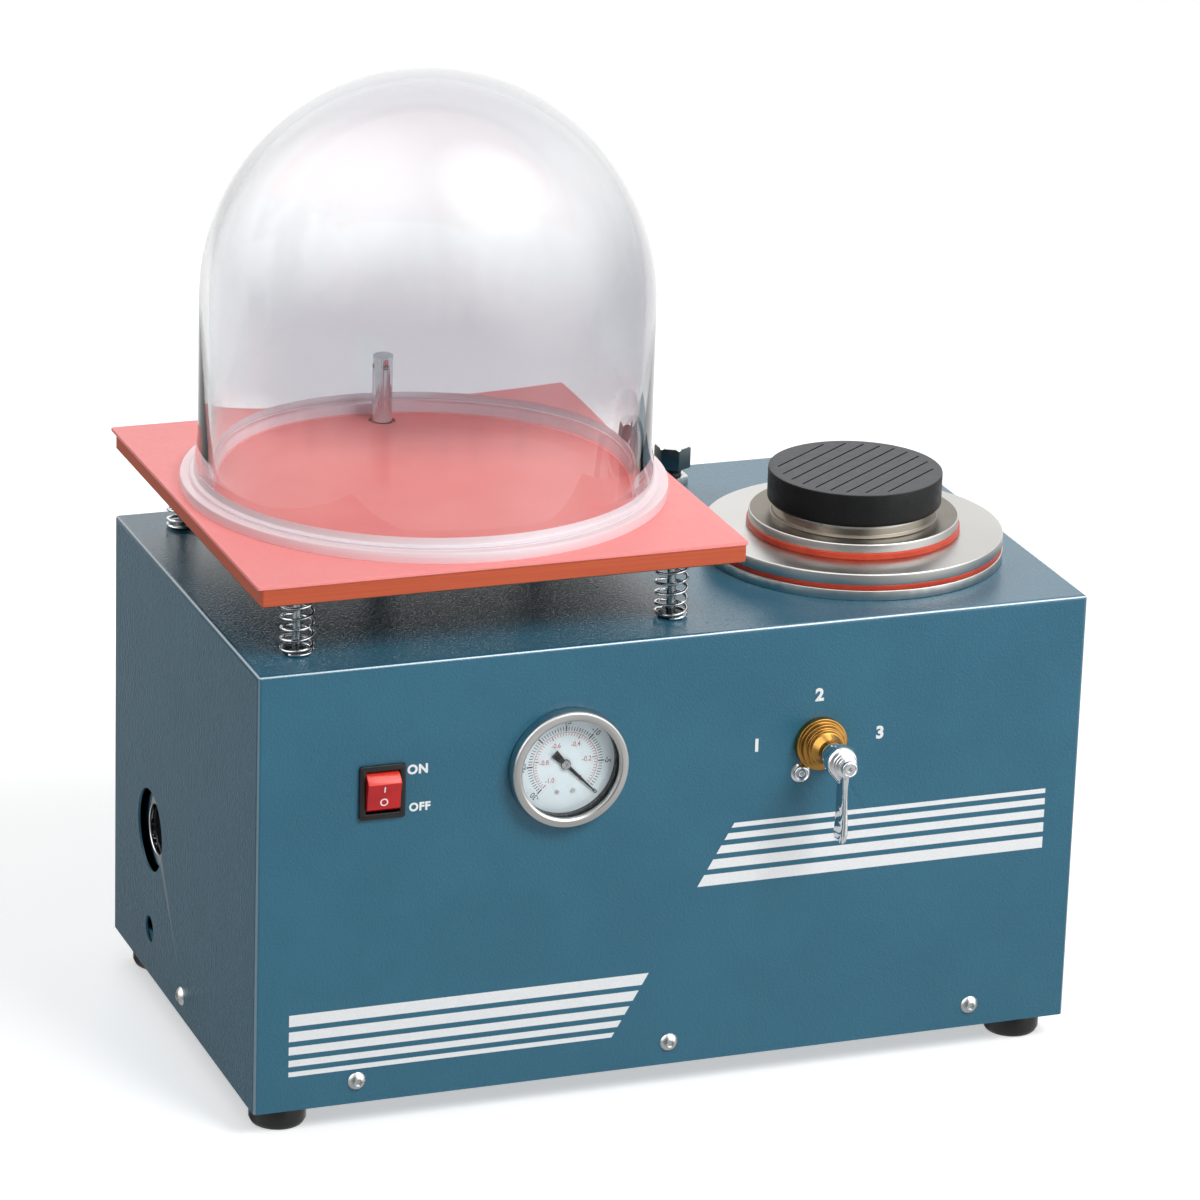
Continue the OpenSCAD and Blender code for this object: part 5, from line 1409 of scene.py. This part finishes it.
def slotted_head(centre, radius, slot, turn):
    """Two half discs on a thin full one, with the gap between them as the slot."""
    bm = bmesh.new()
    bmesh.ops.create_cone(
        bm, cap_ends=True, segments=40, radius1=radius, radius2=radius, depth=HEAD_H * 0.5,
        matrix=Matrix.Translation((0, 0, HEAD_H * 0.25)),
    )  # fmt: skip
    for side in (1, -1):
        edge = half_disc(radius, slot, side)
        inset = side * slot / 2 * (1 - CHAMFER)
        lower = [bm.verts.new((x, y, HEAD_H * 0.45)) for x, y in edge]
        upper = [bm.verts.new((x * CHAMFER, y * CHAMFER + inset, HEAD_H)) for x, y in edge]
        bm.faces.new(upper)
        bm.faces.new(lower)
        bridge(bm, lower, upper)
    bmesh.ops.recalc_face_normals(bm, faces=bm.faces)
    place = Matrix.Translation([c * MM for c in centre])
    bm.transform(place @ turn_to(-Y) @ Matrix.Rotation(turn, 4, "Z") @ MM_SIZE)
    return mesh_of("head", bm)


def bridge(bm, lower, upper):
    """Faces all the way round between two rows of points."""
    for k in range(len(lower)):
        n = (k + 1) % len(lower)
        bm.faces.new((lower[k], lower[n], upper[n], upper[k]))


dial_screws = [
    slotted_head((GAUGE_X + dx, FACE_Y + 0.05, GAUGE_Z - 16.3), 1.35, 0.42, turn)
    for dx, turn in ((-4.8, 0.6), (4.8, -0.5))
]
settle("dial_screws", joined("dial_screws", dial_screws), bright_zinc)
pointer_front = box_mm("gauge_pointer")[0][1]
pointer_hub = slotted_head((GAUGE_X, pointer_front + 0.15, GAUGE_Z), 2.7, 0.5, 0.9)
settle("pointer_hub", pointer_hub, bright_zinc, "needle")
print("dial", round(FACE_Y - FRONT, 2), "mm behind the panel's face")

# %% [markdown]
# ## The switch
#
# The rocker is red translucent nylon in a black snap-in frame. With its foot pressed in, its head
# stands out, so that its round end faces up; its finish paints faces that look up a lighter red as
# a painted highlight, and the face below a deeper red as painted shade. The packed rocker has that
# shape and is softened. The I and O are laid on the face: each vertex of the flat letters is moved
# along the panel's normal until it meets the rocker.

# %% Switch
SWITCH_X, SWITCH_Z = -177.5, 204.5
SIGN_LIFT, IN_FRONT = 0.00002, -0.3
softened("switch_body", black_plastic, 0.45)
rocker = softened("switch_rocker", rocker_red, 0.45, segments=4)


def laid_on(mesh, target):
    """Drops a flat film along Y onto the front of another piece."""
    bm = bmesh.new()
    bm.from_mesh(target.data)
    tree = BVHTree.FromBMesh(bm)
    bm.free()
    middle = sum(v.co.y for v in mesh.vertices) / len(mesh.vertices)
    for vert in mesh.vertices:
        hit = tree.ray_cast(Vector((vert.co.x, IN_FRONT, vert.co.z)), Y)[0]
        if hit is not None:
            vert.co.y = hit.y + (vert.co.y - middle) - SIGN_LIFT
    return mesh


signs = [
    laid_on(lettering(text, height, (SWITCH_X, 0, SWITCH_Z + up), bold=bold), rocker)
    for text, height, up, bold in (("I", 3.6, 2.9, 0.02), ("O", 4.5, -4.9, 0.01))
]
settle("rocker_signs", joined("rocker_signs", signs), white_print, "rocker")
print("rocker stands", round(FRONT - box_mm("switch_rocker")[0][1], 1), "mm proud of the panel")

# %% [markdown]
# ## The valve
#
# Its collar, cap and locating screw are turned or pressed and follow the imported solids. The lever
# is a die casting, so nothing on it is straight: a domed hub, a skirt that runs down to a point,
# and an arm like a blade on edge, whose broad flanks the fingers push, and which leans out a
# little towards its end. Parts of that kind are laid down roughly as overlapping closed shapes,
# then melted into one skin by a voxel remesh, and smoothed. The result is one unbroken surface,
# as if cast.

# %% Collar, cap and screw
softened("valve_collar", turned_brass, 0.45)
softened("valve_body", cast_brass, 0.4)
dress(machined_steel, "valve_ball")


# %% Lever
VALVE_X, VALVE_Z = 85.5, 206.0
LEVER_BACK, LEVER_FRONT = 20.3, 42.5


def ring_stack(bm, rings):
    """Closes a list of equal rings of points into one solid."""
    rows = [[bm.verts.new(p) for p in ring] for ring in rings]
    for lower, upper in zip(rows, rows[1:]):
        bridge(bm, lower, upper)
    bm.faces.new(list(reversed(rows[0])))
    bm.faces.new(rows[-1])


def round_ring(radius, depth, around):
    """Points round the valve's axis, `depth` in front of the panel."""
    return [(radius * math.cos(a), -depth, radius * math.sin(a)) for a in around]


def arm_section(drop, aside, half_w, front, back, slim):
    """A rounded oblong across the arm. `slim` is how much narrower its front is."""
    points = []
    for angle in angles(ARM_SPOKES):
        across, deep = (math.copysign(abs(v) ** 0.5, v) for v in (math.cos(angle), math.sin(angle)))
        depth = (front + back) / 2 + deep * (front - back) / 2
        points.append((aside + across * half_w * (1 - slim * (deep + 1) / 2), -depth, -drop))
    return points


def skirt_ring(depth, share):
    """A circle drawn out to a point below, at a share of its full size."""
    radius, tip = SKIRT_R * share, SKIRT_TIP * share
    tangent = math.acos(radius / tip)
    first, last = -math.pi / 2 + tangent, 1.5 * math.pi - tangent
    around = [first + (last - first) * k / SKIRT_STEPS for k in range(SKIRT_STEPS + 1)]
    return round_ring(radius, depth, around) + [(0.0, -depth, -tip)]


ARM_SPOKES, HUB_SPOKES, SKIRT_STEPS = 32, 64, 40
SKIRT_R, SKIRT_TIP = 9.6, 14.9
SKIRT = ((29.2, 0.93), (29.9, 1.0), (32.5, 1.0), (34.6, 0.96), (36.2, 0.86))
HUB = [
    # radius, depth in front of the panel, rounding
    (0, LEVER_BACK, 0), (6.5, LEVER_BACK, 0.6), (6.5, 28.6, 0.8), (9.2, 29.0, 0.8), (9.7, 30.0, 1.0),
    (9.7, 34.8, 4.5), (7.2, 40.8, 1.8), (5.0, 41.4, 0.3), (4.9, LEVER_FRONT, 0.3), (0, LEVER_FRONT, 0),
]  # fmt: skip
MELT, MELT_STEPS = 0.00032, 9
ARM = (
    # drop below the axis, sideways, half width, front, back, slimness of the front
    (2.0, 0.0, 2.7, 41.4, 31.5, 0.1),
    (8.0, 0.2, 2.4, 41.4, 31.0, 0.15),
    (14.0, 0.5, 2.3, 40.6, 30.2, 0.35),
    (20.0, 0.8, 2.3, 40.2, 29.6, 0.42),
    (28.0, 1.0, 2.4, 40.6, 29.4, 0.4),
    (36.0, 1.0, 2.6, 41.3, 29.2, 0.3),
    (42.0, 0.6, 2.8, 41.8, 29.2, 0.25),
    (45.6, 0.3, 2.5, 41.4, 30.2, 0.3),
    (47.5, 0.2, 1.6, 40.0, 32.4, 0.3),
)


def make_lever():
    bm = bmesh.new()
    ring_stack(bm, [arm_section(*facts) for facts in ARM])
    ring_stack(bm, [round_ring(radius, depth, angles(HUB_SPOKES)) for radius, depth in rounded(HUB)[1:-1]])
    ring_stack(bm, [skirt_ring(*facts) for facts in SKIRT])
    bmesh.ops.recalc_face_normals(bm, faces=bm.faces)
    bm.transform(Matrix.Translation(Vector((VALVE_X, FRONT, VALVE_Z)) * MM) @ MM_SIZE)
    obj = shown("rough_lever", mesh_of("rough_lever", bm))
    melt = obj.modifiers.new("melt", "REMESH")
    melt.mode = "VOXEL"
    melt.voxel_size = MELT
    smooth = obj.modifiers.new("smooth", "SMOOTH")
    smooth.factor = 0.5
    smooth.iterations = MELT_STEPS
    mesh = baked(obj)
    bpy.data.objects.remove(obj)
    for face in mesh.polygons:
        face.use_smooth = True
    return mesh


lever = stand_in("valve_lever", make_lever(), polished_chrome, "_cast")
print("lever of", len(lever.data.polygons), "faces")


# %% Socket screws
SCREW_SPOKES = 72
SOCKET_SHARE = 0.24


def socket_screw(node, head_h, shank_r):
    """A button screw: shank, domed rim, a flat face with a fine groove, and a hexagonal socket."""
    low, high = box_mm(node)
    radius, front, back = (high[0] - low[0]) / 2, FRONT - low[1], FRONT - high[1]
    seat = front - head_h
    line = rounded(
        [(shank_r, back, 0.3), (shank_r, seat, 0), (radius, seat, 0.15), (radius, seat + 0.35 * head_h, 1.4),
         (0.82 * radius, front, 0.5), (0.68 * radius, front, 0), (0.66 * radius, front - 0.25, 0),
         (0.6 * radius, front - 0.25, 0), (0.58 * radius, front, 0), (0.35 * radius, front, 0)]
    )  # fmt: skip
    around = angles(SCREW_SPOKES)
    rings = [round_ring(r, depth, around) for r, depth in line]
    side = math.pi / 3
    for depth in (front - 0.08, front - 0.55 * head_h):
        socket = [SOCKET_SHARE * radius / math.cos((a + side / 2) % side - side / 2) for a in around]
        rings.append([(r * math.cos(a), -depth, r * math.sin(a)) for r, a in zip(socket, around)])
    bm = bmesh.new()
    ring_stack(bm, rings)
    bmesh.ops.recalc_face_normals(bm, faces=bm.faces)
    middle = Vector(((low[0] + high[0]) / 2, FRONT, (low[2] + high[2]) / 2)) * MM
    bm.transform(Matrix.Translation(middle) @ MM_SIZE)
    stand_in(node, mesh_of(node, bm), polished_chrome, "_turned")


socket_screw("valve_cap", 3.45, 2.0)
socket_screw("panel_screw", 3.0, 2.5)
print("two socket screws")


# %% [markdown]
# ## Inside
#
# Little of the pump shows, only what stands behind the round window in the left side and through
# the vents. It still gets its own finishes, because a cover can be taken off: black enamel on the
# oil case, grey on the aluminium motor, plain plastic for the fan.

# %% Pump
for node, finish, width in (
    ("oil_case", black_casting, 1.2),
    ("sight_ring", polished_chrome, 0.4),
    ("drain_plug", polished_chrome, 0.3),
    ("sight_glass", lens_glass, 0.3),
    ("pump_stage", grey_casting, 0.6),
    ("motor_housing", grey_casting, 0.5),
    ("pump_base", grey_casting, 0.5),
    ("fan_cover", fan_plastic, 0.3),
):
    softened(node, finish, width)
dress(fan_plastic, "motor_fan")
dress(machined_steel, "motor_rotor")

# %% [markdown]
# ## Hoses
#
# The vacuum lines are thick clear hose with round bends. Each is a polyline of its straight runs:
# the tree fillets its corners, sweeps the outer circle along it, and Solidify gives the wall, so
# that the hose is hollow and its ends are open where they slip over the barbs.

# %% Hose lines
def make_hose_recipe():
    recipe = Recipe("hose", Diameter=0.012, Bend=0.017, Sides=32)
    curve = recipe.add("MeshToCurve", Mesh=recipe.size("Path"))
    inputs = {"Curve": curve, "Count": 12, "Radius": recipe.size("Bend"), "Limit Radius": True}
    bent = recipe.node("GeometryNodeFilletCurve", inputs, mode="POLY").outputs[0]
    recipe.close(recipe.swept(bent, recipe.size("Diameter")))
    return recipe


hose_recipe = make_hose_recipe()
ROUTES = {
    "pump_hose": [
        (85.5, -79.45, 206), (85.5, -37.25, 206), (85.5, -37.25, 126), (-150, -37.25, 126),
        (-150, 30.95, 126),
    ],
    "table_line": [
        (68.2, -95.75, 206), (4.75, -95.75, 206), (4.75, 132.25, 206), (-96, 132.25, 206),
        (-96, 132.25, 272.2),
    ],
    "chamber_line": [
        (102.8, -95.75, 206), (148, -95.75, 206), (148, -95.75, 115), (148, -11.75, 115),
        (148, -11.75, 150.7),
    ],
    "gauge_line": [
        (-68, -85.45, 208), (-68, -50.25, 208), (-68, -50.25, 96), (-150, -50.25, 96),
        (-150, 30.95, 96),
    ],
    "exhaust_hose": [
        (-204, 87.25, 171.3), (-204, 87.25, 239), (90, 87.25, 239), (90, 132.25, 239),
        (90, 132.25, 270.2),
    ],
    "table_hose": [(-96, 132.25, 284.3), (-96, 132.25, 299.25), (-96, 132.25, 314.2)],
}  # fmt: skip
HOSE = {"wall": 0.002, "Diameter": 0.012, "Bend": 0.017, "Sides": 32}
for node, route in ROUTES.items():
    mesh = grown(node, hose_recipe, clear_hose, route, **HOSE)
    hose = settle(node + "_tube", mesh, clear_hose, "root", (node,))
    if node == "table_hose":
        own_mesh(hose)
print(len(ROUTES), "hoses")
